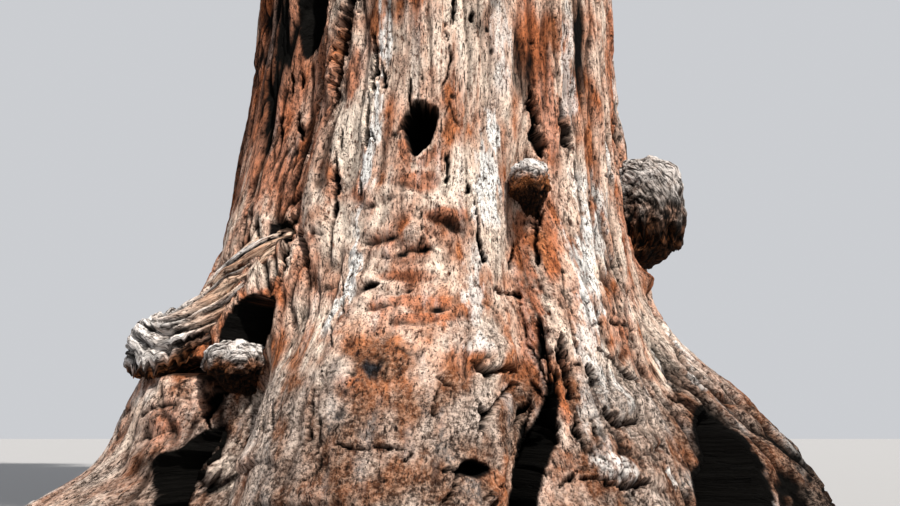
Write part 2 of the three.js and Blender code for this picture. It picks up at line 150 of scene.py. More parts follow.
def noise(u, v, seed, period):
    """Smooth noise, about -0.7 to 0.7, at (u, v) counted in cells. It repeats after period cells in u.

    Each corner of a cell has a seeded slope. The four corners' planes are blended by 6t^5 - 15t^4 + 10t^3.
    """
    first = int(np.floor(v.min())) - 1
    rows = int(np.ceil(v.max())) - first + 3
    angles = np.random.default_rng(seed).uniform(0, 2 * np.pi, (rows, period))
    slope_u = np.cos(angles)
    slope_v = np.sin(angles)
    cell_u = np.floor(u).astype(int)
    cell_v = np.floor(v).astype(int)
    du = u - cell_u
    dv = v - cell_v
    fade_u = du**3 * (du * (6 * du - 15) + 10)
    fade_v = dv**3 * (dv * (6 * dv - 15) + 10)

    def corner(i, j):
        row = cell_v - first + j
        column = (cell_u + i) % period
        return slope_u[row, column] * (du - i) + slope_v[row, column] * (dv - j)

    low = lerp(corner(0, 0), corner(1, 0), fade_u)
    high = lerp(corner(0, 1), corner(1, 1), fade_u)
    return lerp(low, high, fade_v)


def layered(u, v, seed, period, layers):
    """Noise added to itself in layers, each of half the cell and half the strength."""
    total = 0
    for k in range(layers):
        total = total + noise(u * 2**k, v * 2**k, seed + 101 * k, period * 2**k) / 2**k
    return total


def noise_3d(places, seed):
    """Smooth noise in space, about -0.7 to 0.7: a slope at each corner of a unit cell, blended."""
    rng = np.random.default_rng(seed)
    order = rng.permutation(256)
    slopes = unit(rng.normal(0, 1, (256, 3)))
    cell = np.floor(places).astype(int)
    share = places - cell
    fade = share**3 * (share * (6 * share - 15) + 10)
    total = 0
    for corner in np.ndindex(2, 2, 2):
        x, y, z = ((cell[..., axis] + corner[axis]) & 255 for axis in range(3))
        slope = slopes[order[(order[(order[x] + y) & 255] + z) & 255]]
        weight = 1
        for axis in range(3):
            weight = weight * (fade[..., axis] if corner[axis] else 1 - fade[..., axis])
        total = total + weight * ((share - np.array(corner)) * slope).sum(axis=-1)
    return total


def layered_3d(places, seed, layers):
    """Noise in space added to itself in layers, each of half the cell and half the strength."""
    return sum(noise_3d(places * 2**k, seed + 31 * k) / 2**k for k in range(layers))


def column_radius(z):
    """The plain column: the foot's radius, tapered by a power of the height, plus a fading flare."""
    share = np.clip(z / TAPER_END, 0, 1)
    taper = (1 - share**TAPER_CURVE) ** TAPER_SHARE
    return COLUMN_RADIUS * taper + FLARE * np.exp(-z / FLARE_HEIGHT)


def trunk_radius(azimuth, z):
    """The column with flutes, buttresses added as humps that fade upwards, and grooves taken off."""
    column = column_radius(z)
    radius = column.copy()
    for count, depth, phase, twist in FLUTES:
        radius = radius + column * depth * np.cos(count * np.radians(azimuth) + phase + twist * z)
    for at, width, reach, height, edge, square in BUTTRESSES:
        across = np.abs(turn(azimuth, at)) / width
        radius = radius + reach * bell(across, square) * bell(z / height, edge)
    for heights, azimuths, width, depth, start, end in GROOVES:
        across = turn(azimuth, np.interp(z, heights, azimuths)) / width
        along = rise(start, start + GROOVE_START, z) * (1 - rise(end - GROOVE_END, end, z))
        radius = radius - depth * bell(across) * along
    return radius


def smooth_curve(points, steps=6):
    """A smooth line through the points: each span is a cubic whose slopes follow the points beside it."""
    p = np.array(points, float)
    before = np.vstack([2 * p[0] - p[1], p[:-2]]) if len(p) > 2 else 2 * p[:1] - p[1:]
    after = np.vstack([p[2:], 2 * p[-1] - p[-2]]) if len(p) > 2 else 2 * p[1:] - p[:1]
    start, end = p[:-1], p[1:]
    t = np.linspace(0, 1, steps, endpoint=False)[None, :, None]
    slope_in = (end - before)[:, None] / 2
    slope_out = (after - start)[:, None] / 2
    start, end = start[:, None], end[:, None]
    spans = (2 * t**3 - 3 * t**2 + 1) * start + (t**3 - 2 * t**2 + t) * slope_in
    spans = spans + (3 * t**2 - 2 * t**3) * end + (t**3 - t**2) * slope_out
    return np.vstack([spans.reshape(-1, p.shape[1]), p[-1:]])


def ring_angles(count):
    """Angles in radians, evenly round a ring."""
    return np.linspace(0, 2 * np.pi, count, endpoint=False)


def run_along(path):
    """The distance along a path from its start to each of its points."""
    steps = np.linalg.norm(np.diff(path, axis=0), axis=1)
    return np.concatenate([[0], np.cumsum(steps)])


def carried_frames(path):
    """Two directions across a path at each point, turned as little as possible from point to point."""
    along = unit(np.gradient(path, axis=0))
    first = np.cross(along[0], UP if abs(along[0, 2]) < 0.9 else np.array([1.0, 0, 0]))
    across = [first / np.linalg.norm(first)]
    for way in along[1:]:
        turned = across[-1] - way * (across[-1] @ way)
        across.append(turned / np.linalg.norm(turned))
    across = np.array(across)
    return across, np.cross(along, across)


# The height at which the bark's fibres stand evenly round the flared foot, and where they stand as high on
# the trunk.
EVEN_FOOT = 0.55
EVEN_END = 2.3

# The bark's own radius that its grain is measured on, at heights up the trunk.
GRAIN_HEIGHT_STEPS = [0.4, 2.2, 10, 20, 30, 37.9]
GRAIN_RADII = [1.65, 1.24, 1.12, 0.93, 0.62, 0.35]

# Parts of a crack as shares of its size: its width at its ends and how soon it grows to the full width, and
# the width and height of the lips beside it.
CRACK_TIP = 0.15
CRACK_GROWTH = 4
LIP_WIDTH = 2.6
LIP_HEIGHT = 0.14

# Parts of a fold: how far above the crease the roll's crest is, how deep the crease is, and how red the
# roll is.
ROLL_CREST = 0.9
CREASE_DEPTH = 0.9
FOLD_RED = 0.75

# Share of the bark's own relief that the floor of an opening loses, and how red its rim is.
FLOOR_SMOOTHED = 0.8
RIM_RED = 0.8


class Bark:
    """The trunk's bark on a grid of azimuths and heights, with what is carved into it and what colours it.

    relief stands out along the main form's normal, and dive is added to the radius. Each tint is a number
    from 0 to 1 at each place, and the bark's material turns it into colour.
    """

    # The dark tint is near black: painted shade in cracks, creases, furrows and holes, and on shadowed
    # patches, besides a few black blotches.
    TINTS = ("pale", "streak", "moist", "char", "dark", "grey", "rough")

    def __init__(self, azimuths, heights):
        self.azimuths = np.asarray(azimuths, float)
        self.heights = np.asarray(heights, float)
        self.az, self.z = np.meshgrid(self.azimuths, self.heights)
        self.form = trunk_radius(self.az, self.z)
        self.relief = np.zeros_like(self.form)
        self.dive = np.zeros_like(self.form)
        self.tints = {name: np.zeros_like(self.form) for name in self.TINTS}
        self.metric = np.hypot(self.form, np.gradient(self.form, np.radians(self.azimuths), axis=1))
        self.grain = self.grain_places()
        # How far marks waver off their drawn lines: sway in degrees of azimuth, lift in metres.
        self.sway = 0.8 * self.stretched(0.20, 0.20, 11, 1) + 0.6 * self.stretched(0.05, 0.07, 12, 2)
        self.lift = 0.02 * self.stretched(0.20, 0.20, 13, 1) + 0.016 * self.stretched(0.05, 0.05, 14, 2)
        self.jagged = self.stretched(0.022, 0.045, 22, 2)
        self.swell = self.stretched(0.09, 0.10, 21, 2)
        self.ragged = self.stretched(0.035, 0.22, 31, 3)
        self.blotchy = self.stretched(0.13, 0.26, 41, 3)

    def along_lines(self):
        """The azimuth at which the grain through each place stands high on the trunk.

        It is read between the grain lines by the ring's length, so the grain is as wide on a steep flank.
        """
        arcs = np.cumsum(self.metric * np.gradient(self.azimuths), axis=1)
        turned = np.empty_like(self.az)
        tops = [line[-1] for line in GRAIN_LINES]
        for row, z in enumerate(self.heights):
            lines = [np.interp(z, GRAIN_HEIGHTS, line) for line in GRAIN_LINES]
            turned[row] = np.interp(arcs[row], np.interp(lines, self.azimuths, arcs[row]), tops)
        return turned

    def grain_places(self):
        """Where each place lies along the grain: two numbers round the trunk and one up it, all in metres.

        High up, the grain lines stand at their azimuths. At the foot they stand evenly along the ring, which
        is longer where a buttress reaches out. Between the two heights one passes smoothly into the other.
        """
        ring = self.azimuths
        foot_row = np.searchsorted(self.heights, EVEN_FOOT)
        arc = np.cumsum(self.metric[foot_row] * np.gradient(ring))
        even = -180 + 360 * arc / arc[-1]
        turned = self.along_lines()
        evened = np.interp(turned, turned[foot_row], even)
        turned = np.radians(lerp(turned, evened, 0.9 * (1 - rise(EVEN_FOOT, EVEN_END, self.z))))
        radius = np.interp(self.z, GRAIN_HEIGHT_STEPS, GRAIN_RADII)
        runs = np.diff(self.form, axis=0)
        steps = np.sqrt(np.diff(self.heights)[:, None] ** 2 + runs**2)
        length = np.vstack([np.zeros((1, len(ring))), np.cumsum(steps, axis=0)])
        return np.stack([radius * np.sin(turned), -radius * np.cos(turned), length], axis=-1)

    def stretched(self, across, along, seed, layers):
        """Layered noise along the grain, with cells of the given sizes in metres."""
        return layered_3d(self.grain / np.array([across, across, along]), seed, layers)

    def deepen(self, name, part, value):
        """Raises a tint to a value in a part of the grid, where the tint is less."""
        self.tints[name][part] = np.maximum(self.tints[name][part], value)

    def window(self, points, margin):
        """The part of the grid that lies within margin metres of the points."""
        p = np.array(points, float)
        wide = math.degrees(margin / COLUMN_RADIUS)
        left, right = np.searchsorted(self.azimuths, [p[:, 0].min() - wide, p[:, 0].max() + wide])
        low, high = np.searchsorted(self.heights, [p[:, 1].min() - margin, p[:, 1].max() + margin])
        return np.s_[low:high, left:right]

    def scale_near(self, curve):
        """How many metres a degree of azimuth is, along the ring at the middle of a line."""
        middle = curve[len(curve) // 2]
        row = min(np.searchsorted(self.heights, middle[1]), len(self.heights) - 1)
        column = min(np.searchsorted(self.azimuths, middle[0]), len(self.azimuths) - 1)
        return math.radians(1) * float(self.metric[row, column])

    @staticmethod
    def from_span(x, y, scale, a, b):
        """The span from a to b, and for each place the nearest share along it and the way from there."""
        ax, ay = a[0] * scale, a[1]
        ex, ey = b[0] * scale - ax, b[1] - ay
        t = np.clip(((x - ax) * ex + (y - ay) * ey) / (ex * ex + ey * ey + 1e-12), 0, 1)
        return ex, ey, t, x - ax - t * ex, y - ay - t * ey

    def measure(self, points, part):
        """How each place lies to a smooth line through the points.

        That is its distance in metres, its share along the line, and its side: 1 above or left, and -1 else.
        """
        curve = smooth_curve(points)
        scale = self.scale_near(curve)
        x = (self.az[part] + self.sway[part]) * scale
        y = self.z[part] + self.lift[part]
        best = np.full(x.shape, np.inf)
        share = np.zeros(x.shape)
        side = np.ones(x.shape)
        spans = len(curve) - 1
        for k in range(spans):
            bx, by, t, dx, dy = self.from_span(x, y, scale, curve[k], curve[k + 1])
            distance = np.hypot(dx, dy)
            nearer = distance < best
            best = np.where(nearer, distance, best)
            share = np.where(nearer, (k + t) / spans, share)
            side = np.where(nearer, np.sign(bx * dy - by * dx), side)
        return best, share, side

    def crack(self, width, depth, blunt, points):
        """A crack with raised lips: depth times exp(-(distance/width)^2), thinner towards its ends, with
        painted shade along it.

        blunt keeps its lower end wide.
        """
        part = self.window(points, 4 * width + 0.02)
        distance, share, _ = self.measure(points, part)
        upper = np.minimum(1, CRACK_GROWTH * share + CRACK_TIP)
        lower = np.minimum(1, CRACK_GROWTH * (1 - share) + CRACK_TIP + blunt)
        swell = np.clip(0.85 + 1.3 * self.swell[part] + blunt * share, 0.15, 3)
        wide = width * (upper * lower) * swell * np.clip(1 + 1.5 * self.jagged[part], 0.3, 2)
        line = bell(distance / wide)
        lips = bell(distance / (LIP_WIDTH * wide)) - line
        self.relief[part] += -depth * line + LIP_HEIGHT * depth * lips
        # Painted shade: the crack's line is coloured dark.
        self.deepen("dark", part, rise(0.25, 0.6, line))

    def fold(self, crease, roll, height, shade, points):
        """A fold: a thin crease along the line, and above it a roll of bark that swells out by the height."""
        part = self.window(points, 3 * roll + crease)
        distance, share, side = self.measure(points, part)
        ends = rise(0, 0.3, share) * rise(0, 0.3, 1 - share)
        ends = ends * np.clip(0.85 + 1.1 * self.blotchy[part], 0.2, 1.3)
        signed = distance * side
        line = bell(distance / crease) * ends
        swelling = bell((signed - ROLL_CREST * roll) / roll) * ends * rise(-0.6 * roll, 0.3 * roll, signed)
        self.relief[part] += height * swelling - CREASE_DEPTH * height * line
        # Painted shade in the crease, broken into blotches.
        self.deepen("dark", part, shade * line * np.clip(0.6 + 1.8 * self.blotchy[part], 0, 1))
        warmth = bell(signed / (1.3 * roll)) * ends * np.clip(0.55 + 1.4 * self.blotchy[part], 0, 1)
        self.deepen("moist", part, FOLD_RED * warmth)

    def lump(self, azimuth, height, half_width, half_height, out, square):
        """A hump of height `out` over an ellipse: out times exp(-distance^square), distance in half sizes."""
        across = turn(self.az + self.sway, azimuth) / half_width
        up = (self.z + self.lift - height) / half_height
        self.relief += out * bell(np.hypot(across, up), square)

    def streak(self, name, width, strength, points):
        """Colours a line out to about a width. Its edges break up along the fibres, and it has gaps."""
        part = self.window(points, 2.4 * width)
        distance, share, _ = self.measure(points, part)
        ends = rise(0, 0.12, share) * rise(0, 0.12, 1 - share)
        value = 1 - distance / width + 1.5 * self.ragged[part] + 1.1 * self.blotchy[part]
        self.deepen(name, part, strength * rise(0.12, 0.62, value) * ends * rise(2.2, 1.2, distance / width))

    def patch(self, name, azimuth, height, half_width, half_height, strength):
        """Colours an ellipse with a soft, ragged edge. A negative strength takes colour away."""
        across = turn(self.az + self.sway, azimuth) / half_width
        up = (self.z + self.lift - height) / half_height
        ragged = np.hypot(across, up) + 0.7 * self.blotchy + 0.3 * self.ragged
        self.tints[name] = np.clip(self.tints[name] + strength * (1 - rise(0.5, 1.15, ragged)), 0, 1)

    def inside(self, outline, part):
        """Distance in metres to a smooth closed outline, positive inside it."""
        closed = smooth_curve([*outline, outline[0]])
        scale = self.scale_near(np.array([closed.mean(axis=0)]))
        x = (self.az[part] + 0.5 * self.sway[part]) * scale
        y = self.z[part] + 0.5 * self.lift[part]
        distance = np.full(x.shape, np.inf)
        within = np.zeros(x.shape, bool)
        for a, b in zip(closed[:-1], closed[1:]):
            ex, ey, _, dx, dy = self.from_span(x, y, scale, a, b)
            distance = np.minimum(distance, np.hypot(dx, dy))
            crosses = (a[1] > y) != (b[1] > y)
            cross_x = a[0] * scale + (y - a[1]) * ex / np.where(ey == 0, 1e-12, ey)
            within ^= crosses & (x < cross_x)
        return np.where(within, distance, -distance)

    def opening(self, outline, floor, edge, lip, soot, spill):
        """A hole with the outline: the bark dives to the floor radius within `edge`, behind a raised lip.

        Its black is painted shade, as strong as soot, and starts `spill` outside the outline.
        """
        part = self.window(outline, 0.25)
        depth = self.inside(outline, part)
        share = rise(0, edge, depth)
        raised = self.relief[part] + lip * bell(depth / (1.2 * edge) + 0.7)
        self.relief[part] = raised * (1 - FLOOR_SMOOTHED * share)
        self.dive[part] = np.minimum(self.dive[part], share * np.minimum(floor - self.form[part], 0))
        # Painted shade: black inside the hole from just outside its outline, as strong as soot.
        self.deepen("dark", part, soot * rise(-spill - 0.010, -spill + 0.004, depth))
        rim = bell(depth / (0.7 * edge + 0.012)) * np.clip(0.6 + 1.5 * self.blotchy[part], 0, 1)
        self.deepen("moist", part, RIM_RED * rim)


# Cracks: half width, depth, how much wider the lower end is, and places as (azimuth, height).
CRACKS = [
    (0.036, 0.15, 0, [(-26.6, 4.3), (-27.4, 3.3), (-28.4, 3.15), (-29.4, 2.99), (-30.1, 2.83), (-31, 2.64)]),
    (0.02, 0.08, 0, [(-41.8, 3.07), (-38.3, 2.85), (-38.7, 2.64), (-39.7, 2.49), (-41.2, 2.38), (-42, 2.18)]),
    (0.027, 0.12, 0, [(-42, 2.18), (-43.2, 2.05), (-45.2, 1.95), (-44.1, 1.82), (-42, 1.69), (-40.2, 1.57)]),
    (0.021, 0.1, 0.3, [(-42.2, 1.95), (-38.4, 1.88), (-35.4, 1.77), (-34.4, 1.71)]),
    (0.016, 0.08, 0, [(-46.2, 2.67), (-45.7, 2.59), (-45, 2.51)]),
    (0.01, 0.05, 0, [(-46.3, 2.19), (-44.8, 2.28), (-42.7, 2.38), (-40.6, 2.47)]),
    (0.009, 0.05, 0, [(-48, 2.94), (-48, 2.78)]),
    (0.009, 0.05, 0, [(-45.9, 2.94), (-45.8, 2.78)]),
    (0.009, 0.05, 0, [(-49.5, 2.67), (-49.3, 2.49)]),
    (0.005, 0.03, 0, [(-22.7, 1.63), (-18.5, 1.37)]),
    (0.005, 0.03, 0, [(-23.1, 1.44), (-17.7, 1.19)]),
    (0.007, 0.04, 0.4, [(-30.4, 0.95), (-28.5, 0.88), (-26.5, 0.75)]),
    (0.006, 0.04, 0.8, [(-16.1, 0.9), (-16.1, 0.81), (-15.7, 0.68)]),
    (0.006, 0.03, 0, [(-16.2, 2.43), (-15.3, 2.37)]),
    (0.006, 0.035, 0, [(-2.8, 1.96), (-3, 1.75)]),
    (0.014, 0.07, 0.8, [(-17.6, 3.05), (-16.8, 2.93), (-16.9, 2.72)]),
    (0.008, 0.04, 0.8, [(-15, 2.86), (-13.2, 2.7)]),
    (0.012, 0.07, 0.6, [(-18.4, 2.69), (-18.3, 2.5), (-18, 2.37)]),
    (0.007, 0.03, 0.5, [(-19.6, 2.18), (-18.4, 2.08)]),
    (0.009, 0.06, 1.4, [(-28.2, 2.36), (-27.9, 2.2), (-27.2, 1.99)]),
    (0.006, 0.03, 0.3, [(-26.6, 2.49), (-26.5, 2.38)]),
    (0.01, 0.06, 0.4, [(-6.2, 2.74), (-6.4, 2.54)]),
    (0.014, 0.08, 0.2, [(28.5, 2.01), (26.8, 1.91), (26, 1.81), (26.1, 1.7)]),
    (0.009, 0.05, 0, [(71, 2.92), (75.6, 2.81), (81.7, 2.78)]),
    (0.009, 0.05, 0, [(79.5, 2.61), (81.4, 2.59)]),
    (0.01, 0.04, 0.8, [(10.2, 3.16), (10.2, 3.12)]),
    (0.008, 0.04, 0.8, [(8.4, 2.13), (8.4, 2.09)]),
    (0.006, 0.04, 0, [(2.7, 3.08), (3.3, 2.96), (4, 2.88), (3.2, 2.75), (2.2, 2.69)]),
    (0.007, 0.04, 0.2, [(5.2, 3.3), (5.3, 3.08)]),
    (0.006, 0.03, 1.6, [(3.3, 2.31), (3.2, 2.15)]),
    (0.007, 0.05, 1, [(10.2, 2.04), (10.7, 1.89), (11.2, 1.78), (12.6, 1.71)]),
    (0.007, 0.05, 0.4, [(21.8, 1.82), (20.3, 1.68)]),
    (0.009, 0.05, 0, [(14.3, 1.46), (14.8, 1.56), (16.5, 1.53), (21.1, 1.53), (21.9, 1.45)]),
    (0.006, 0.03, 0, [(11.5, 1.38), (13.3, 1.32), (14.6, 1.29)]),
    (0.008, 0.04, 0, [(21.9, 1.48), (22, 1.33), (23, 1.2), (23.8, 1.04)]),
    (0.016, 0.09, 0, [(6.6, 1.14), (9.5, 1.09), (12.4, 1.09), (16.1, 1.11), (19.6, 1.11)]),
    (0.013, 0.07, 0.3, [(20.3, 1.07), (15.9, 1.01), (12.4, 0.95), (10.4, 0.88), (9.7, 0.85)]),
    (0.009, 0.05, 0, [(0.5, 1.05), (3.4, 1.01)]),
    (0.008, 0.05, 0.3, [(0.9, 0.99), (0.3, 0.95), (0.3, 0.9), (0.8, 0.86)]),
    (0.014, 0.07, 0.5, [(7.8, 0.94), (8.8, 0.9), (9.7, 0.85), (8.5, 0.82)]),
    (0.014, 0.07, 0, [(21.7, 1.01), (19.6, 0.91), (16.4, 0.84), (14.1, 0.77), (15.4, 0.69), (15.3, 0.63)]),
    (0.013, 0.06, 0, [(21.5, 1.06), (22.2, 1.03), (23, 0.98)]),
    (0.01, 0.05, 0, [(21.3, 0.93), (18.2, 0.77), (15.7, 0.65), (13.5, 0.52)]),
    (0.008, 0.05, 0, [(3.8, 0.55), (2.2, 0.49), (1.6, 0.4)]),
    (0.009, 0.05, 0, [(6.3, 0.46), (8.3, 0.52), (11.4, 0.54)]),
    (0.007, 0.04, 0, [(1.5, 0.47), (3, 0.51)]),
    (0.008, 0.04, 0, [(0.5, 0.62), (2.7, 0.6), (3.4, 0.56), (2.8, 0.53)]),
    (0.009, 0.05, 0, [(28.1, 0.76), (27.6, 0.67)]),
    (0.011, 0.06, 0, [(19.5, 0.61), (20.5, 0.58), (21.4, 0.54), (23, 0.57), (25.1, 0.6)]),
    (0.01, 0.05, 0, [(31.2, 0.85), (30.5, 0.78), (30.8, 0.71)]),
    (0.009, 0.05, 0, [(29.3, 1.12), (32.4, 1.15)]),
    (0.01, 0.05, 0, [(83.5, 1.51), (73.9, 1.24), (74, 1.1)]),
    (0.009, 0.05, 0, [(68.3, 1.23), (71.4, 1.12), (71.2, 1)]),
    (0.009, 0.05, 0, [(73.7, 1.31), (77.5, 1.17), (75.4, 1.04)]),
    (0.017, 0.08, 0.6, [(28.1, 1.28), (27.8, 1.17), (28.1, 1.07), (27.9, 0.98)]),
    (0.014, 0.07, 0.4, [(31.6, 1.29), (32.4, 1.21)]),
    (0.017, 0.08, 0.6, [(34.5, 1.15), (35.1, 1.04)]),
    (0.015, 0.07, 0.4, [(25.9, 1.12), (25.2, 0.98)]),
    (0.016, 0.07, 0.4, [(27.8, 0.88), (27.3, 0.77)]),
    (0.013, 0.06, 0.3, [(23.8, 0.87), (24, 0.8), (23.2, 0.74)]),
    (0.016, 0.08, 0.6, [(24.9, 1.42), (24.4, 1.3), (23.6, 1.18)]),
    (0.013, 0.07, 0, [(38.2, 1.25), (41.1, 1.2), (44.6, 1.15), (47.1, 1.1), (52.3, 1.07)]),
    (0.01, 0.05, 0, [(61.6, 1), (63.7, 0.98), (66.1, 0.96)]),
    (0.01, 0.05, 0, [(14, 0.74), (16.9, 0.84), (20.4, 0.95), (21.7, 1.01)]),
    (0.014, 0.06, 0, [(25.2, 0.57), (28.9, 0.57), (30.9, 0.535), (34.8, 0.525), (38.6, 0.535)]),
    (0.012, 0.06, 0, [(78, 2.71), (83, 2.64)]),
    (0.007, 0.04, 0, [(-13.5, 0.74), (-9, 0.71), (-6.3, 0.72), (-2.9, 0.7), (-4.3, 0.63)]),
    (0.006, 0.035, 0.3, [(-33.5, 1), (-31.6, 0.86), (-29.6, 0.78)]),
    (0.006, 0.035, 0.5, [(-19, 1.02), (-18.2, 0.9), (-17.5, 0.75)]),
    (0.006, 0.03, 0, [(-36.2, 1.33), (-34.6, 1.38), (-31, 1.4)]),
    (0.006, 0.03, 0, [(-14.2, 0.69), (-15.2, 0.62), (-17, 0.55)]),
    (0.015, 0.09, 0.5, [(24.6, 2.15), (25.6, 2.05), (26.8, 2), (26.4, 1.93)]),
    (0.016, 0.08, 0, [(24.9, 1.42), (25, 1.25), (24.4, 1.08), (24.2, 0.9), (23, 0.74)]),
    (0.022, 0.1, 0.3, [(27.4, 2.75), (28.2, 2.52), (28.8, 2.35)]),
    (0.022, 0.09, 0.2, [(36.2, 2.72), (37.2, 2.5), (38.2, 2.38)]),
    (0.008, 0.05, 0, [(39.3, 2.36), (40.4, 2.2)]),
    (0.006, 0.03, 0, [(46.1, 2.45), (46.8, 2.34)]),
    (0.008, 0.04, 0, [(51.1, 2.6), (51.8, 2.5), (55, 2.43)]),
    (0.008, 0.04, 0, [(57.5, 2.7), (59.5, 2.52)]),
    (0.01, 0.05, 0, [(49.5, 2.27), (53.5, 2.29)]),
    (0.009, 0.05, 0, [(28.2, 1.57), (31, 1.55), (31.9, 1.43), (31.6, 1.2)]),
    (0.021, 0.1, 0, [(34.6, 0.92), (35, 0.87), (36.6, 0.84), (40.4, 0.835), (46.8, 0.84)]),
    (0.024, 0.1, 0, [(35, 0.89), (36.4, 0.85)]),
    (0.007, 0.03, 0, [(38.5, 1.38), (48, 1.38), (60, 1.36)]),
    (0.03, 0.12, 0, [(-45.5, 1.22), (-50, 1.09), (-52.9, 1.02), (-53.5, 0.9), (-53.2, 0.82)]),
    (0.035, 0.16, 0.3, [(-53.2, 0.78), (-54.4, 0.6), (-54.6, 0.4), (-54.8, 0.2), (-54.9, -0.1)]),
]

# Folds: half width of the crease and of the roll above it, the roll's height, how dark the painted shade in
# the crease is, and places.
FOLDS = [
    (0.013, 0.05, 0.018, 0.8, [(-17.5, 1.98), (-14.7, 2), (-12, 2.03), (-9, 2.05)]),
    (0.016, 0.06, 0.014, 0.3, [(-9.5, 2.07), (-6, 2.1), (-2, 2.15), (2, 2.13)]),
    (0.014, 0.05, 0.022, 0.7, [(-18.5, 1.77), (-14.9, 1.79), (-11.5, 1.805), (-7.8, 1.83)]),
    (0.022, 0.055, 0.03, 0.7, [(-2.6, 1.955), (0.5, 1.92), (3.8, 1.89), (6.6, 1.85), (8.4, 1.79)]),
    (0.012, 0.045, 0.018, 0.5, [(-14.5, 1.7), (-11, 1.7), (-8.8, 1.702), (-6.8, 1.72)]),
    (0.01, 0.04, 0.02, 0.9, [(-8.6, 1.705), (-6.4, 1.735), (-4.2, 1.748), (-1.5, 1.755), (0.6, 1.775)]),
    (0.012, 0.04, 0.01, 0.2, [(-10.5, 1.665), (-7.5, 1.674), (-4.3, 1.668)]),
    (0.016, 0.05, 0.026, 0.8, [(-18, 1.51), (-16.2, 1.53), (-13.5, 1.555), (-11.5, 1.57)]),
    (0.02, 0.055, 0.014, 0.3, [(-12.5, 1.6), (-9, 1.6), (-4, 1.588), (0.5, 1.585), (3.5, 1.56)]),
    (0.014, 0.045, 0.014, 0.4, [(-15.5, 1.4), (-12.5, 1.42), (-8.5, 1.425), (-5, 1.41)]),
    (0.014, 0.045, 0.014, 0.5, [(-4, 1.4), (-1, 1.395), (2.4, 1.41), (5, 1.43)]),
    (0.01, 0.036, 0.012, 0.5, [(1, 1.372), (3.5, 1.375), (7, 1.377), (11, 1.372)]),
    (0.012, 0.04, 0.012, 0.4, [(-8.5, 1.34), (-5.7, 1.33), (-2.2, 1.325), (1.5, 1.34)]),
    (0.01, 0.05, 0.02, 0.3, [(-34, 1.62), (-30, 1.55), (-26, 1.55), (-22, 1.6)]),
    (0.01, 0.05, 0.02, 0.4, [(-36, 1.93), (-31, 1.88), (-28, 1.9)]),
    (0.012, 0.06, 0.024, 0.3, [(28, 0.62), (33, 0.55), (40, 0.5), (48, 0.47)]),
    (0.012, 0.06, 0.022, 0.3, [(38, 0.7), (44, 0.68), (52, 0.71), (58, 0.76)]),
    (0.012, 0.06, 0.022, 0.3, [(-44, 0.62), (-36, 0.58), (-28, 0.64), (-20, 0.6)]),
    (0.01, 0.05, 0.018, 0.3, [(-30, 0.48), (-22, 0.44), (-12, 0.46), (-4, 0.42)]),
    (0.012, 0.055, 0.03, 0.5, [(6, 0.4), (9, 0.47), (12, 0.58), (14.5, 0.7)]),
    (0.012, 0.055, 0.026, 0.4, [(2, 0.3), (5, 0.37), (8, 0.42), (10, 0.5)]),
]

# Lumps: azimuth, height, half width in degrees, half height, height above the bark and squareness.
LUMPS = [
    (90, 2.05, 24, 0.95, 0.06, 2),
    (-4.8, 1.83, 4.2, 0.085, 0.03, 3),
    (2.5, 1.99, 5.5, 0.07, 0.022, 2),
    (-12, 1.68, 5, 0.05, 0.018, 2),
    (15, 1.19, 7, 0.1, 0.055, 2.6),
    (17.8, 1.4, 3, 0.11, 0.03, 3.5),
    (29, 1.38, 2.1, 0.2, 0.045, 3.5),
    (16, 0.9, 2.6, 0.1, 0.03, 2.5),
    (12.5, 0.72, 2.8, 0.12, 0.035, 2.5),
    (6.5, 0.5, 4.5, 0.08, 0.035, 2),
    (43, 0.94, 8, 0.08, 0.05, 2.2),
    (46, 0.62, 8, 0.14, 0.03, 2),
    (-5, 0.4, 12, 0.18, 0.04, 2),
    (-58.9, 0.93, 4.9, 0.17, 0.1, 3),
    (-57.5, 0.66, 3.6, 0.09, 0.09, 3),
    (-54, 0.6, 2.5, 0.07, 0.07, 2.5),
    (80, 1.73, 3.5, 0.075, 0.085, 2.5),
    (88, 1, 6, 0.12, 0.05, 2.5),
]

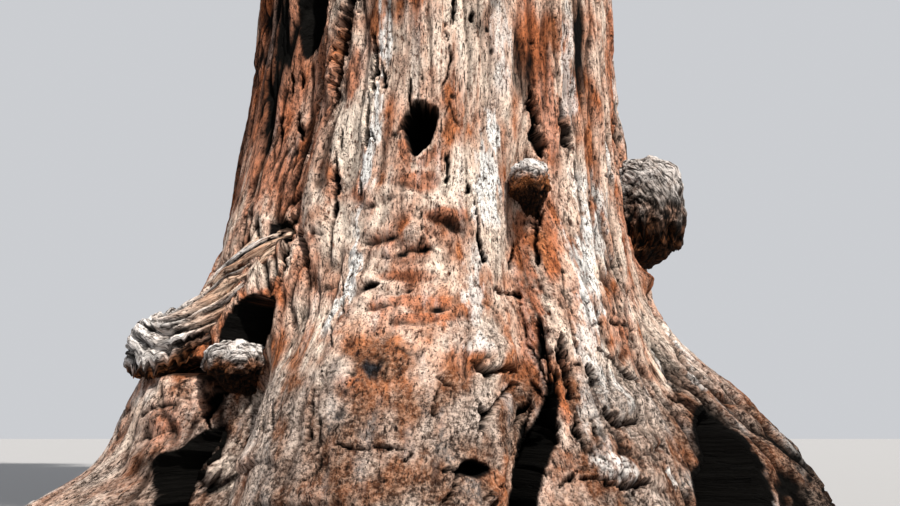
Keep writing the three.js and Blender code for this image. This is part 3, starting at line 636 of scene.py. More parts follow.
# Streaks, by tint: half width, strength, and places.
STREAKS = {
    "streak": [
        (0.045, 0.9, [(-13, 3.6), (-13.2, 3.3), (-13.6, 3.05), (-12.5, 2.8)]),
        (0.055, 1, [(-14.6, 2.85), (-15.6, 2.69), (-15, 2.38), (-17.9, 2.3), (-17.2, 2.05)]),
        (0.045, 1, [(-20.6, 2.06), (-20.1, 1.8), (-18.8, 1.57), (-21, 1.45), (-21.5, 1.25)]),
        (0.065, 0.55, [(18.4, 3.9), (18.2, 3.17), (17.6, 2.62)]),
        (0.08, 1, [(15.6, 2.6), (14.6, 2.42), (14, 2.13), (13.3, 1.85)]),
        (0.055, 0.6, [(11, 1.84), (9.7, 1.64), (9.2, 1.47), (8.5, 1.3), (9, 1.15)]),
        (0.045, 0.6, [(41, 3.7), (40.6, 3.3), (39.5, 2.87), (40.2, 2.5)]),
        (0.105, 1, [(41.6, 2.36), (41, 2), (39.6, 1.74), (40, 1.57), (38, 1.3)]),
        (0.07, 0.8, [(47.5, 2.22), (46.5, 1.95), (45, 1.75)]),
        (0.11, 0.6, [(38.5, 1.52), (36.8, 1.3), (34, 1.12)]),
        (0.09, 0.35, [(34, 1.12), (31.5, 0.8), (30.5, 0.55)]),
        (0.05, 0.8, [(60, 3.2), (58, 2.8), (55, 2.5), (52.5, 2.25)]),
        (0.12, 0.7, [(43, 2.27), (41, 1.95), (38, 1.6)]),
        (0.07, 0.7, [(37, 1.15), (40, 1.02), (43.5, 0.9)]),
        (0.06, 0.7, [(27.5, 0.67), (32, 0.63), (36.5, 0.58)]),
        (0.045, 0.8, [(50.7, 0.62), (52.6, 0.54), (54.1, 0.45)]),
        (0.04, 0.8, [(79, 1.45), (76, 1.25), (73, 1.12), (70.5, 1.04)]),
        (0.035, 0.7, [(66, 1.3), (66.5, 1.15), (66.8, 1.03)]),
    ],
    "pale": [
        (0.1, 0.7, [(8, 3.8), (8.5, 3.2), (9, 2.7), (8, 2.4)]),
        (0.12, 0.8, [(0, 3.8), (-0.5, 3.2), (-1, 2.75)]),
        (0.09, 0.7, [(20.3, 2.45), (20, 2.1), (20, 1.9)]),
    ],
    "moist": [
        (0.06, 1, [(24.4, 2.1), (23.9, 1.85), (23.7, 1.5), (23.6, 1.15)]),
        (0.07, 0.9, [(31.5, 2.85), (32.5, 2.5), (31.5, 2.25)]),
        (0.06, 0.8, [(30, 2.2), (29.5, 1.8), (28.2, 1.55)]),
        (0.045, 0.9, [(-9.5, 2.4), (-7.5, 2.3), (-4, 2.24), (-0.6, 2.3), (1, 2.36)]),
        (0.04, 0.7, [(-12, 1.41), (-6, 1.36), (0, 1.35), (6, 1.36)]),
        (0.035, 0.6, [(0, 1.98), (3.5, 1.95), (7, 1.9)]),
        (0.03, 0.5, [(-12, 1.82), (-8, 1.84), (-5, 2.06), (-1, 2.09)]),
        (0.05, 0.9, [(23.3, 2.08), (22.8, 1.7), (22.3, 1.33)]),
        (0.04, 0.8, [(33.6, 2.52), (30, 2.38), (33.8, 2.27)]),
    ],
}

# Patches, by tint: azimuth, height, half width in degrees, half height and strength.
PATCHES = {
    # The pale patches at (-34, 0.75) and (-45, 0.72) are painted light on a slope that faces away from the
    # sun.
    "pale": [
        (12, 3.1, 13, 0.55, 0.55), (3, 2.1, 12, 0.35, 0.25), (-22, 2.35, 5, 0.12, 0.4),
        (-22.5, 2.75, 5, 0.22, -0.5), (9, 1.25, 9, 0.13, 0.6), (-12, 1.75, 10, 0.2, 0.2),
        (-60, 1.85, 7, 0.2, 0.5), (-62, 0.85, 8, 0.2, 0.6), (-66, 0.4, 12, 0.3, 0.4),
        (-5.3, 1.84, 2.3, 0.075, 0.5), (29, 2.95, 6.5, 0.45, -0.3), (57, 3, 8, 0.6, 0.35),
        (-24, 2.5, 7, 0.6, 0.5), (-34, 0.75, 9, 0.45, 0.7), (-8, 1.18, 9, 0.15, -0.35),
        (-45, 0.72, 6.5, 0.34, 1), (-20, 0.7, 9, 0.25, 0.3), (29, 0.55, 4, 0.2, -0.35),
        (47, 0.95, 13, 0.3, 0.5), (78, 0.6, 10, 0.35, -0.5), (72, 1.25, 11, 0.3, 0.6),
        (44, 0.85, 16, 0.35, 0.5), (-55, 2, 9, 0.22, 0.6), (-52.5, 1.93, 4, 0.11, 0.8),
        (-46, 1.66, 5, 0.12, 0.5), (-20, 0.8, 14, 0.3, -0.15), (4, 0.62, 8, 0.2, -0.3),
        (44, 0.85, 16, 0.35, -0.25),
    ],
    # The moist patches at (-52, 2.9) and (-73, 3.2) redden the shadowed left side as painted shade. The
    # negative ones at (-34, 0.75) and (-45, 0.72) take red off a slope that faces away from the sun, as
    # painted light.
    "moist": [
        (-22.5, 2.8, 4.5, 0.2, 0.35), (-52, 2.9, 20, 1.1, 0.75), (31, 2.6, 4.5, 0.3, 0.5),
        (3.2, 1.94, 5.5, 0.055, 0.9), (-6, 1.6, 7, 0.03, 0.7), (-2, 1.45, 8, 0.05, 0.6),
        (-2.5, 1.352, 6.5, 0.022, 1), (-3, 2.14, 6, 0.06, 0.8), (-24, 2.82, 3, 0.14, 0.5),
        (29, 2.95, 6.5, 0.45, 0.5), (51, 3, 6, 0.45, 0.25), (66, 2.2, 7, 0.45, 0.25),
        (-24, 2.5, 7, 0.6, -0.3), (-34, 0.75, 9, 0.45, -0.3), (-8, 1.16, 9, 0.13, -0.4),
        (-45, 0.72, 6.5, 0.34, -0.9), (-22, 1.15, 7, 0.3, -0.3), (-24, 2.84, 4, 0.22, 0.6),
        (-58, 0.8, 5, 0.18, 0.45), (-45, 1.6, 6, 0.12, 0.4), (72, 1.25, 12, 0.35, -0.35),
        (44, 0.85, 18, 0.45, -0.7), (25.8, 0.9, 1.5, 0.15, 0.8), (-73, 3.2, 10, 1.3, 0.5),
        (-51.5, 1.93, 5, 0.14, -0.8), (-46, 1.66, 5, 0.12, -0.8), (-10, 0.85, 28, 0.45, -0.5),
        (-12.5, 1.02, 3, 0.05, 0.6), (45, 1.38, 12, 0.12, 0.3),
    ],
    "grey": [
        (-64, 0.85, 12, 0.3, -0.7), (-5.3, 1.84, 2.3, 0.075, 0.9), (-8, 1.14, 9, 0.13, 0.35),
        (29, 0.55, 4, 0.2, 0.5), (17.5, 3, 3, 0.4, 0.4), (8, 0.9, 14, 0.2, 0.35),
        (-10, 0.7, 25, 0.45, 0.45), (45, 0.85, 22, 0.45, 0.5), (80, 0.9, 18, 0.8, 0.6),
        (25.8, 0.9, 1.8, 0.18, -0.9), (60, 1.15, 8, 0.15, -0.5), (-46, 1.66, 4.5, 0.1, 0.6),
        (4, 0.62, 8, 0.2, 0.5), (8, 1.26, 8, 0.12, 0.6), (-33, 1, 5, 0.2, 0.3),
        (10.5, 1.45, 4, 0.35, 0.35),
    ],
    # Most dark patches are painted shade and shadow: soft shade along the folds, on the shadowed left side
    # and upper trunk, and right of the cave. A few small ones are black blotches in the folds; those with
    # negative strength take painted shade off the slope beside the left leg, as painted light.
    "dark": [
        (4.2, 1.9, 5, 0.034, 0.42), (-10, 1.812, 1.9, 0.016, 0.9), (-7, 1.722, 1.5, 0.016, 1),
        (-1.6, 1.75, 1.8, 0.018, 0.8), (-9.6, 1.42, 2, 0.016, 0.8), (0.8, 1.402, 2, 0.02, 0.8),
        (-7.5, 2.115, 2, 0.02, 0.6), (-34, 0.75, 8, 0.45, -0.5), (-45, 0.72, 5.5, 0.3, -0.6),
        (25.5, 2.86, 3.6, 0.26, 0.7), (44, 3.05, 4, 0.4, 0.6), (-54, 3.25, 7, 0.65, 0.6),
        (-36, 2.95, 4, 0.3, 0.4), (-13, 3.3, 4.5, 0.16, 0.35), (12.5, 3.14, 3, 0.12, 0.35),
        (-29, 3.2, 4, 0.35, 0.35), (79, 0.5, 7, 0.3, 0.5), (-72, 3.3, 13, 1.3, 0.55),
        (84, 0.5, 8, 0.3, 0.3),
    ],
    "char": [
        (-10.4, 1.09, 1.4, 0.045, 0.95), (-9.2, 1.06, 1.3, 0.05, 0.85), (-8.2, 1.1, 0.8, 0.025, 0.7),
        (-10.9, 1.03, 0.8, 0.022, 0.8), (-12.6, 0.97, 0.9, 0.04, 0.8), (-13, 0.86, 1.2, 0.05, 0.75),
        (-14, 0.81, 1, 0.03, 0.6),
    ],
}

# Openings: outline as (azimuth, height), floor radius, how soon it gets deep, how far its lip stands out,
# how black its painted shade is, and how far outside its outline the painted shade starts.
KNOT_HOLE = [(-6.1, 2.57), (-4.9, 2.6), (-3, 2.6), (-1.4, 2.58), (0.9, 2.55), (0.3, 2.46), (-0.9, 2.37),
             (-2.5, 2.32), (-4.7, 2.28), (-6.7, 2.33), (-7.6, 2.39), (-7.9, 2.43), (-9, 2.43), (-8.6, 2.48),
             (-7.1, 2.53)]
FOOT_GAP = [(24.6, 1.05), (25.1, 0.97), (24.6, 0.91), (23.3, 0.81), (22.7, 0.74), (21.4, 0.67), (19.1, 0.57),
            (16.8, 0.44), (15.6, 0.25), (15.2, -0.1), (8, -0.1), (10, 0.2), (11.9, 0.45), (13.3, 0.51),
            (15.2, 0.6), (17.1, 0.7), (18.9, 0.77), (20.7, 0.82), (22.6, 0.91), (23.5, 0.97)]
CAVE = [(67.6, 0.89), (68.9, 0.91), (69.9, 0.86), (70.3, 0.74), (70.2, 0.62), (69.7, 0.5), (69, 0.36),
        (68.2, 0.15), (67.5, -0.1), (52, -0.1), (54.5, 0.2), (58.2, 0.4), (60.2, 0.51), (62.2, 0.56),
        (64, 0.6), (64.6, 0.67), (65, 0.76), (66.2, 0.84)]
LEFT_HOLLOW = [(-52.5, 1.36), (-50.5, 1.49), (-46.7, 1.545), (-42.5, 1.53), (-40.3, 1.52), (-39.5, 1.44),
               (-40.1, 1.34), (-43.8, 1.24), (-48, 1.22), (-52, 1.26)]
ARM_ROOT_HOLE = [(-49.2, 1.99), (-46, 2), (-44.7, 1.91), (-46.6, 1.88), (-47, 1.81), (-48.9, 1.8),
                 (-48.4, 1.9)]
TOP_CLEFT = [(-47, 3.45), (-46.8, 3.2), (-45.4, 3.02), (-43.2, 3.05), (-39, 3.13), (-34.5, 3.24),
             (-32.5, 3.6), (-34.5, 4.2), (-37.5, 5), (-41, 5.6), (-44, 4.8), (-46.5, 4)]
UNDER_BURL = [(-63.3, 1.1), (-59, 1.1), (-54.6, 1.09), (-53.3, 1.06), (-53.6, 0.9), (-52.8, 0.92),
              (-52.3, 1.02), (-50.3, 1.08), (-47.8, 1.15), (-47.5, 1.22), (-52, 1.2), (-60, 1.2),
              (-64, 1.17)]
LEFT_CLEFT = [(-52, 0.82), (-53.6, 0.79), (-55.5, 0.7), (-57.2, 0.63), (-56.9, 0.53), (-55.6, 0.41),
              (-55.9, 0.2), (-56.4, -0.1), (-53.3, -0.1), (-53.4, 0.2), (-53.3, 0.4), (-53.3, 0.58),
              (-52.6, 0.7)]
KNOB_HOLLOW = [(27.9, 2.51), (30.4, 2.46), (29.4, 2.36), (28.2, 2.4)]
STREAK_HOLLOW = [(35.1, 2.58), (39.2, 2.54), (38, 2.43), (35.4, 2.41), (35.5, 2.5)]
CREASE_POCKET = [(-16.3, 1.53), (-15.5, 1.549), (-13.8, 1.562), (-12.2, 1.557), (-12.4, 1.54), (-13.1, 1.524),
                 (-14.8, 1.521)]
FOLD_POCKET = [(2.9, 0.6), (4.2, 0.645), (5.8, 0.662), (7.4, 0.645), (8.8, 0.615), (6.9, 0.58), (4.8, 0.575)]
OPENINGS = [
    (KNOT_HOLE, 0.66, 0.022, 0.006, 1, 0),
    (FOOT_GAP, 0.86, 0.03, 0.01, 1, 0.012),
    (CAVE, 1.12, 0.05, 0.02, 1, 0.035),
    (LEFT_HOLLOW, 1.03, 0.04, 0.01, 1, 0.006),
    (ARM_ROOT_HOLE, 1.12, 0.03, 0.01, 1, 0.006),
    (TOP_CLEFT, 0.93, 0.06, 0.01, 1, 0),
    (UNDER_BURL, 1.25, 0.05, 0.01, 0.9, 0.01),
    (LEFT_CLEFT, 1.25, 0.05, 0.01, 1, 0.01),
    (KNOB_HOLLOW, 1.02, 0.03, 0.01, 0.9, 0),
    (STREAK_HOLLOW, 1.02, 0.03, 0.01, 0.9, 0),
    (CREASE_POCKET, 1.31, 0.02, 0.004, 1, 0),
    (FOLD_POCKET, 1.62, 0.02, 0.01, 1, 0),
]

# Red, ragged wood under the hollow's upper rim, coloured after the openings: as PATCHES.
HOLLOW_PATCHES = {
    "dark": [
        (-44.5, 1.495, 4.6, 0.045, -0.8),
    ],
    "moist": [
        (-44.5, 1.495, 5, 0.05, 1),
    ],
}


def spread(low, high, sizes):
    """Values from low to high whose steps follow sizes, read between its pairs of a value and a step."""
    values = [low]
    at, steps = zip(*sizes)
    while values[-1] < high:
        values.append(values[-1] + float(np.interp(values[-1], at, steps)))
    last = values[-1]
    return np.array(values) * (high - low) / (last - low) + low * (last - high) / (last - low)


# Columns and rows of the trunk's grid: where, and the step there in degrees or metres. Columns are close on
# the side with the knot hole, and closest on the steep left flank. Rows are close as high as the folds and
# cracks reach.
COLUMN_STEPS = [(-180, 1.3), (-112, 1.3), (-92, 0.46), (-63, 0.36), (-60, 0.18), (-47, 0.18), (-44, 0.36),
                (80, 0.38), (98, 0.46), (118, 1.3), (180, 1.3)]
ROW_STEPS = [(0, 0.022), (0.25, 0.018), (0.34, 0.0102), (3.4, 0.0102), (3.8, 0.020), (5.0, 0.055),
             (9.0, 0.19), (30.0, 0.38), (36.0, 0.25), (37.9, 0.1)]


def trunk_grid():
    """The azimuths and heights of the trunk's grid. Each ring closes on its first azimuth."""
    return spread(-180, 180, COLUMN_STEPS)[:-1], spread(0, TRUNK_TOP, ROW_STEPS)


def roughness(bark):
    """How furrowed the bark is, from 0 to 1: smooth and folded at the front, ropy at the sides and above.

    The left leg's front and the slope beside it are smoother too.
    """
    az, z = bark.az, bark.z
    front = bell(turn(az, 9) / 44, 4) * (1 - rise(3.8, 9.0, z))
    upper = 0.2 * rise(2.3, 3.2, z)
    leg = bell(turn(az, -68) / 15, 4) * (1 - rise(0.95, 1.2, z))
    slope = bell(turn(az, -34) / 13, 4) * (1 - rise(1.1, 1.6, z))
    return np.clip(1 - (0.85 - upper) * front - 0.6 * leg - 0.35 * slope, 0.12, 1)


# How far each kind of the bark's relief stands out or cuts in, in metres. Two kinds are stronger where it
# is rough.
WAVE_HEIGHT = 0.022
ROPE_HEIGHT = 0.030
LONG_FURROW_DEPTH = 0.045
SHORT_FURROW_DEPTH = 0.022
STRAND_HEIGHT, ROUGH_STRAND_HEIGHT = 0.010, 0.006
CHECK_DEPTH = 0.016
WRINKLE_HEIGHT = 0.020
SLIT_DEPTH = 0.014
PIT_DEPTH = 0.010
FIBRE_HEIGHT, ROUGH_FIBRE_HEIGHT = 0.0035, 0.004
GRIT_HEIGHT = 0.0035

# How far a noise is from zero at the edge of the furrow that it makes.
LONG_FURROW_EDGE = 0.085
SHORT_FURROW_EDGE = 0.075
CHECK_EDGE = 0.04
SLIT_EDGE = 0.028
FLANK_EDGE = 0.25

# The cells of a wrinkle in metres: wide and low.
WRINKLE_CELL = np.array([0.17, 0.17, 0.075])


def carve_ropes(bark, rough):
    """Broad waves, then long ropes and furrows with shorter ones on them. Returns the painted shade in the
    furrows.

    Waves and ropes are plain noise. A furrow is exp(-(noise/edge)^2), a line where the noise is zero.
    """
    bark.relief += WAVE_HEIGHT * bark.stretched(0.55, 0.9, 50, 2)
    long_noise = bark.stretched(0.24, 2.3, 51, 2) + 0.30 * bark.stretched(0.07, 0.5, 52, 2)
    long_furrow = bell(long_noise / LONG_FURROW_EDGE)
    short_noise = bark.stretched(0.12, 0.9, 53, 2) + 0.25 * bark.stretched(0.035, 0.2, 54, 2)
    short_furrow = bell(short_noise / SHORT_FURROW_EDGE) * rise(-0.25, 0.15, bark.stretched(0.3, 0.6, 55, 1))
    ropes = np.abs(long_noise) ** 0.5
    ropy = ROPE_HEIGHT * ropes - LONG_FURROW_DEPTH * long_furrow - SHORT_FURROW_DEPTH * short_furrow
    bark.relief += rough * ropy
    bark.relief += (STRAND_HEIGHT + ROUGH_STRAND_HEIGHT * rough) * bark.stretched(0.075, 0.5, 56, 2)
    flanks = bell(long_noise / FLANK_EDGE) * rough
    bark.tints["moist"] += 0.4 * np.clip(flanks, 0, 1)
    return rough * (0.95 * long_furrow**1.5 + 0.8 * short_furrow**1.5)


def carve_checks(bark, rough):
    """Cross cracks that break the foot's bark into blocks, right and far left. Returns where they are."""
    right = rise(16, 26, turn(bark.az, 0))
    left = rise(50, 58, -turn(bark.az, 0))
    blocky = np.clip(right + left, 0, 1) * (1 - rise(1.3, 1.9, bark.z))
    bark.tints["rough"] = np.maximum(rough, 0.7 * blocky)
    patchy = rise(-0.05, 0.25, bark.stretched(0.25, 0.3, 58, 1))
    checks = bell(bark.stretched(0.16, 0.11, 57, 2) / CHECK_EDGE) * patchy * blocky
    bark.relief -= CHECK_DEPTH * checks
    return checks


def carve_slits(bark):
    """Wrinkles on the front, and short slits along the grain outside them. Returns where the slits are."""
    wrinkled = bell(turn(bark.az, -6) / 18, 4) * bell((bark.z - 1.72) / 0.5, 4)
    bark.relief += WRINKLE_HEIGHT * wrinkled * layered_3d(bark.grain / WRINKLE_CELL, 59, 3)
    patchy = rise(0.20, 0.30, bark.stretched(0.2, 0.34, 61, 1))
    slits = bell(bark.stretched(0.06, 0.5, 60, 1) / SLIT_EDGE) * patchy
    slits = slits * (1 - 0.7 * wrinkled) * rise(0.7, 1.2, bark.z)
    bark.relief -= SLIT_DEPTH * slits
    return slits


def carve_furrows(bark):
    """Bark in several sizes along the grain, from ropes down to fibres and grit, deepest where rough."""
    rough = roughness(bark)
    furrows = carve_ropes(bark, rough)
    checks = carve_checks(bark, rough)
    slits = carve_slits(bark)
    pits = rise(0.40, 0.52, bark.stretched(0.045, 0.06, 62, 1))
    bark.relief -= PIT_DEPTH * pits
    bark.relief += (FIBRE_HEIGHT + ROUGH_FIBRE_HEIGHT * rough) * bark.stretched(0.034, 0.16, 63, 2)
    bark.relief += GRIT_HEIGHT * bark.stretched(0.018, 0.035, 64, 1)
    # Painted shade: dark in the furrows, checks, slits and pits.
    bark.deepen("dark", ..., np.clip(furrows + 0.8 * checks + 0.95 * slits + 0.8 * pits, 0, 0.95))


def tint_zones(bark):
    """The broad colours: cream and orange in patches, cinnamon at the sides, and grey on the old foot."""
    z = bark.z
    patches = bark.stretched(0.20, 0.36, 71, 3) + 0.5 * bark.stretched(0.07, 0.30, 72, 2)
    low = 1 - rise(0.9, 1.6, z)
    bark.tints["pale"] += np.clip(0.58 - 0.38 * low + 1.35 * patches, 0, 1)
    side = rise(55, 100, np.abs(turn(bark.az, 0)))
    warm = bark.stretched(0.16, 0.5, 73, 3)
    bark.tints["moist"] += np.clip(0.12 + 0.35 * side + 0.9 * warm, 0, 0.8)
    foot = (1 - rise(0.85, 1.35, z)) * np.clip(0.85 + 1.0 * bark.stretched(0.3, 0.4, 74, 2), 0, 1)
    bark.tints["grey"] += foot
    wild = np.clip(2.2 * bark.stretched(0.10, 1.0, 75, 3) - 0.45, 0, 1)
    away = np.clip(rise(60, 72, np.abs(turn(bark.az, 0))) + rise(3.2, 4.2, z), 0, 1)
    bark.tints["streak"] = np.maximum(bark.tints["streak"], wild * (0.35 + 0.65 * away))


def build_bark():
    """The whole bark: folds, lumps and furrows, then colours, then cracks and openings with theirs."""
    bark = Bark(*trunk_grid())

    def each(mark, table):
        for entry in table:
            mark(*entry)

    def each_tint(mark, tables):
        for tint, table in tables.items():
            for entry in table:
                mark(tint, *entry)

    each(bark.fold, FOLDS)
    each(bark.lump, LUMPS)
    carve_furrows(bark)
    tint_zones(bark)
    each_tint(bark.streak, STREAKS)
    each_tint(bark.patch, PATCHES)
    each(bark.crack, CRACKS)
    each(bark.opening, OPENINGS)
    each_tint(bark.patch, HOLLOW_PATCHES)
    tip = 1 - rise(TRUNK_TOP - 1.0, TRUNK_TOP, bark.z)
    foot = rise(0, 0.05, bark.z)
    bark.relief *= tip * (0.4 + 0.6 * foot)
    return bark


def blurred(values, rows, columns):
    """Each value's mean over a box of rows and columns, which closes round the trunk."""
    padded = np.pad(values, ((rows, rows), (0, 0)), mode="edge")
    padded = np.pad(padded, ((0, 0), (columns, columns)), mode="wrap")
    sums = np.pad(padded.cumsum(0).cumsum(1), ((1, 0), (1, 0)))
    tall, wide = 2 * rows + 1, 2 * columns + 1
    total = sums[tall:, wide:] - sums[:-tall, wide:] - sums[tall:, :-wide] + sums[:-tall, :-wide]
    return total / (tall * wide)


def surface_normals(points):
    """The normal at each place of a grid that closes round: its row and column differences, crossed."""
    across = np.roll(points, -1, axis=1) - np.roll(points, 1, axis=1)
    return unit(np.cross(across, np.gradient(points, axis=0)))


def ring_faces(rows, columns):
    """Quads between the rings of a closed tube. They face out where rings run anticlockwise and upwards."""
    i = np.arange(rows - 1)[:, None] * columns
    j = np.arange(columns)[None, :]
    k = (j + 1) % columns
    quads = np.stack([i + j, i + k, i + k + columns, i + j + columns], axis=-1)
    return quads.reshape(-1, 4)


def mesh_object(name, points, faces, tints, material, normals=None):
    """A mesh from whole arrays. faces is a list of arrays, one for each count of corners."""
    mesh = bpy.data.meshes.new(name)
    corners = np.concatenate([f.ravel() for f in faces]).astype(np.int32)
    counts = np.concatenate([np.full(len(f), f.shape[1]) for f in faces])
    starts = np.concatenate([[0], np.cumsum(counts)[:-1]]).astype(np.int32)
    mesh.vertices.add(len(points))
    mesh.vertices.foreach_set("co", np.ascontiguousarray(points, np.float32).ravel())
    mesh.loops.add(len(corners))
    mesh.loops.foreach_set("vertex_index", corners)
    mesh.polygons.add(len(counts))
    mesh.polygons.foreach_set("loop_start", starts)
    mesh.polygons.foreach_set("use_smooth", np.ones(len(counts), bool))
    mesh.materials.append(material)
    mesh.update(calc_edges=True)
    for key, values in tints.items():
        kind, field = ("FLOAT_VECTOR", "vector") if values.ndim == 2 else ("FLOAT", "value")
        attribute = mesh.attributes.new(key, kind, "POINT")
        attribute.data.foreach_set(field, np.ascontiguousarray(values, np.float32).ravel())
    if normals is not None:
        mesh.normals_split_custom_set_from_vertices(normals.tolist())
    made = bpy.data.objects.new(name, mesh)
    bpy.context.scene.collection.objects.link(made)
    return made


def tube_object(name, rings, tints, material, normals=None):
    """A closed tube from rings of points: quads between the rings, and a fan over each end."""
    rows, columns, _ = rings.shape
    ends = np.stack([rings[0].mean(axis=0), rings[-1].mean(axis=0)])
    points = np.vstack([rings.reshape(-1, 3), ends])
    j = np.arange(columns)
    k = (j + 1) % columns
    last = (rows - 1) * columns
    low = np.stack([k, j, np.full(columns, rows * columns)], axis=-1)
    high = np.stack([last + j, last + k, np.full(columns, rows * columns + 1)], axis=-1)
    flat = {}
    for key, values in tints.items():
        body = values.reshape(rows * columns, *values.shape[2:])
        flat[key] = np.concatenate([body, body[:1], body[-1:]])
    if normals is not None:
        normals = np.vstack([normals.reshape(-1, 3), [[0, 0, -1], [0, 0, 1]]])
    faces = [ring_faces(rows, columns), np.vstack([low, high])]
    return mesh_object(name, points, faces, flat, material, normals)


class Finish:
    """A material and short calls that each add one node to it."""

    def __init__(self, name, roughness):
        self.material = bpy.data.materials.new(name)
        self.material.use_nodes = True
        self.nodes = self.material.node_tree.nodes
        self.links = self.material.node_tree.links
        self.shader = self.nodes["Principled BSDF"]
        self.shader.inputs["Roughness"].default_value = roughness
        self.shader.inputs["Specular IOR Level"].default_value = 0.08

    def add(self, kind, inputs, **settings):
        """One node. An input that is another node's output is linked, and a number or colour is set."""
        node = self.nodes.new(kind)
        for key, value in settings.items():
            setattr(node, key, value)
        for key, value in inputs.items():
            if isinstance(value, bpy.types.NodeSocket):
                self.links.new(value, node.inputs[key])
            else:
                node.inputs[key].default_value = value
        return node

    def tint(self, name):
        """One of the piece's own attributes, as a number."""
        return self.add("ShaderNodeAttribute", {}, attribute_name=name).outputs["Fac"]

    def along_grain(self, across, along):
        """Places counted in cells, so many to a metre across the piece's grain and along it."""
        grain = self.add("ShaderNodeAttribute", {}, attribute_name="grain").outputs["Vector"]
        return self.scaled(grain, (across, across, along))

    def scaled(self, vector, scale):
        """A vector multiplied by a scale for each axis."""
        return self.add("ShaderNodeMapping", {"Vector": vector, "Scale": scale}).outputs["Vector"]

    def noise(self, vector, scale, detail, roughness, distortion=0.0):
        """Blender's noise texture, as a number from 0 to 1."""
        inputs = {"Vector": vector, "Scale": scale, "Detail": detail, "Roughness": roughness}
        inputs["Distortion"] = distortion
        return self.add("ShaderNodeTexNoise", inputs).outputs["Fac"]

    def noises(self, table):
        """The noises of a table by name: cells to a metre across and along the grain, then more settings."""
        return {name: self.noise(self.along_grain(across, along), 1.0, *settings)
                for name, (across, along, *settings) in table.items()}

    def cells(self, across, along):
        """The distance to the edge between random cells, so many to a metre across and along the grain."""
        inputs = {"Vector": self.along_grain(across, along), "Scale": 1.0}
        return self.add("ShaderNodeTexVoronoi", inputs, feature="DISTANCE_TO_EDGE").outputs["Distance"]

    def fall(self, value, low, high, start=0.0, end=1.0):
        """start where the value is low or less, end where it is high or more, and smooth between."""
        inputs = {"Value": value, "From Min": low, "From Max": high, "To Min": start, "To Max": end}
        return self.add("ShaderNodeMapRange", inputs, interpolation_type="SMOOTHSTEP").outputs["Result"]

    def combine(self, operation, a, b):
        """Two numbers combined by a named operation, kept between 0 and 1."""
        return self.add("ShaderNodeMath", {0: a, 1: b}, operation=operation, use_clamp=True).outputs[0]

    def product(self, a, b):
        """Two numbers multiplied."""
        return self.combine("MULTIPLY", a, b)

    def blend(self, share, a, b):
        """A number that goes from a to b with the share."""
        return self.add("ShaderNodeMix", {0: share, 2: a, 3: b}, data_type="FLOAT").outputs[0]

    def mix(self, share, a, b):
        """A colour that goes from a to b with the share."""
        node = self.add("ShaderNodeMix", {}, data_type="RGBA")
        for socket, value in ((node.inputs[0], share), (node.inputs[6], a), (node.inputs[7], b)):
            if isinstance(value, bpy.types.NodeSocket):
                self.links.new(value, socket)
            else:
                socket.default_value = value
        return node.outputs[2]

    def tone(self, value, name):
        """A colour between a named tone's two ends, as the value goes from its low to its high number."""
        low, high, dark, light = TONES[name]
        return self.mix(self.fall(value, low, high), colour(*dark), colour(*light))

    def relief(self, layers):
        """Small relief in layers, each on the last: a height, its distance in metres and its strength."""
        normal = None
        for height, distance, strength in layers:
            inputs = {"Height": height, "Distance": distance, "Strength": strength}
            if normal is not None:
                inputs["Normal"] = normal
            normal = self.add("ShaderNodeBump", inputs).outputs["Normal"]
        return normal

    def finish(self, base, normal, roughness=None):
        """Links the colour and relief, and the roughness where it varies, to the shader."""
        self.links.new(base, self.shader.inputs["Base Color"])
        self.links.new(normal, self.shader.inputs["Normal"])
        if roughness is not None:
            self.links.new(roughness, self.shader.inputs["Roughness"])
        return self.material


def colour(red, green, blue):
    """A screen colour from 0 to 255 as the linear colour that a shader takes."""
    parts = [(c / 255 / 12.92 if c <= 10 else ((c / 255 + 0.055) / 1.055) ** 2.4) for c in (red, green, blue)]
    return (*parts, 1.0)


# Tones: the numbers of a noise where each is at its dark and at its light end, and the ends as screen
# colours.
TONES = {
    "cinnamon": (0.36, 0.60, (80, 36, 18), (202, 130, 88)),
    "cream": (0.36, 0.52, (96, 58, 40), (250, 231, 213)),
    "moist red": (0.37, 0.60, (66, 31, 18), (198, 116, 74)),
    "dull wood": (0.42, 0.66, (36, 24, 18), (172, 138, 116)),
    "grey wood": (0.39, 0.58, (50, 38, 32), (222, 203, 190)),
    "white flecks": (0.36, 0.50, (84, 66, 58), (250, 247, 243)),
    "soot": (0.45, 0.65, (8, 8, 10), (52, 52, 56)),
    "worn burl": (0.38, 0.64, (32, 26, 23), (164, 152, 144)),
    "bleached burl": (0.34, 0.56, (62, 54, 50), (246, 240, 236)),
    "tan burl": (0.36, 0.56, (104, 62, 42), (240, 208, 180)),
    "brown burl": (0.36, 0.62, (36, 18, 10), (172, 108, 66)),
}

# Noises along the grain: cells to a metre across it and along it, detail, roughness and distortion.
BARK_NOISES = {
    "blotches": (3.0, 2.2, 5.0, 0.62, 0.4),
    "fibres": (52, 9, 5.0, 0.7, 0.35),
    "dabs": (64, 30, 4.0, 0.75),
    "specks": (120, 62, 3.0, 0.75),
    "strips": (16, 2.2, 5.0, 0.65, 0.5),
    "ticks": (72, 11, 3.0, 0.65),
    "cracking": (13, 5.5, 7.0, 0.68, 0.3),
    "cracked parts": (7, 4, 3.0, 0.6),
    "grit": (56, 46, 5.0, 0.75),
}
BURL_NOISES = {
    "swirl": (7, 7, 4.0, 0.6, 1.6),
    "ridges": (58, 10, 5.0, 0.7, 0.6),
    "flecks": (70, 40, 4.0, 0.7),
}


def bark_fissures(f, noises):
    """Thin winding cracks where one noise crosses its middle, in the places that another noise picks."""
    cracking = noises["cracking"]
    line = f.product(f.fall(cracking, 0.476, 0.49), f.fall(cracking, 0.49, 0.504, 1.0, 0.0))
    return f.product(line, f.fall(noises["cracked parts"], 0.46, 0.54))


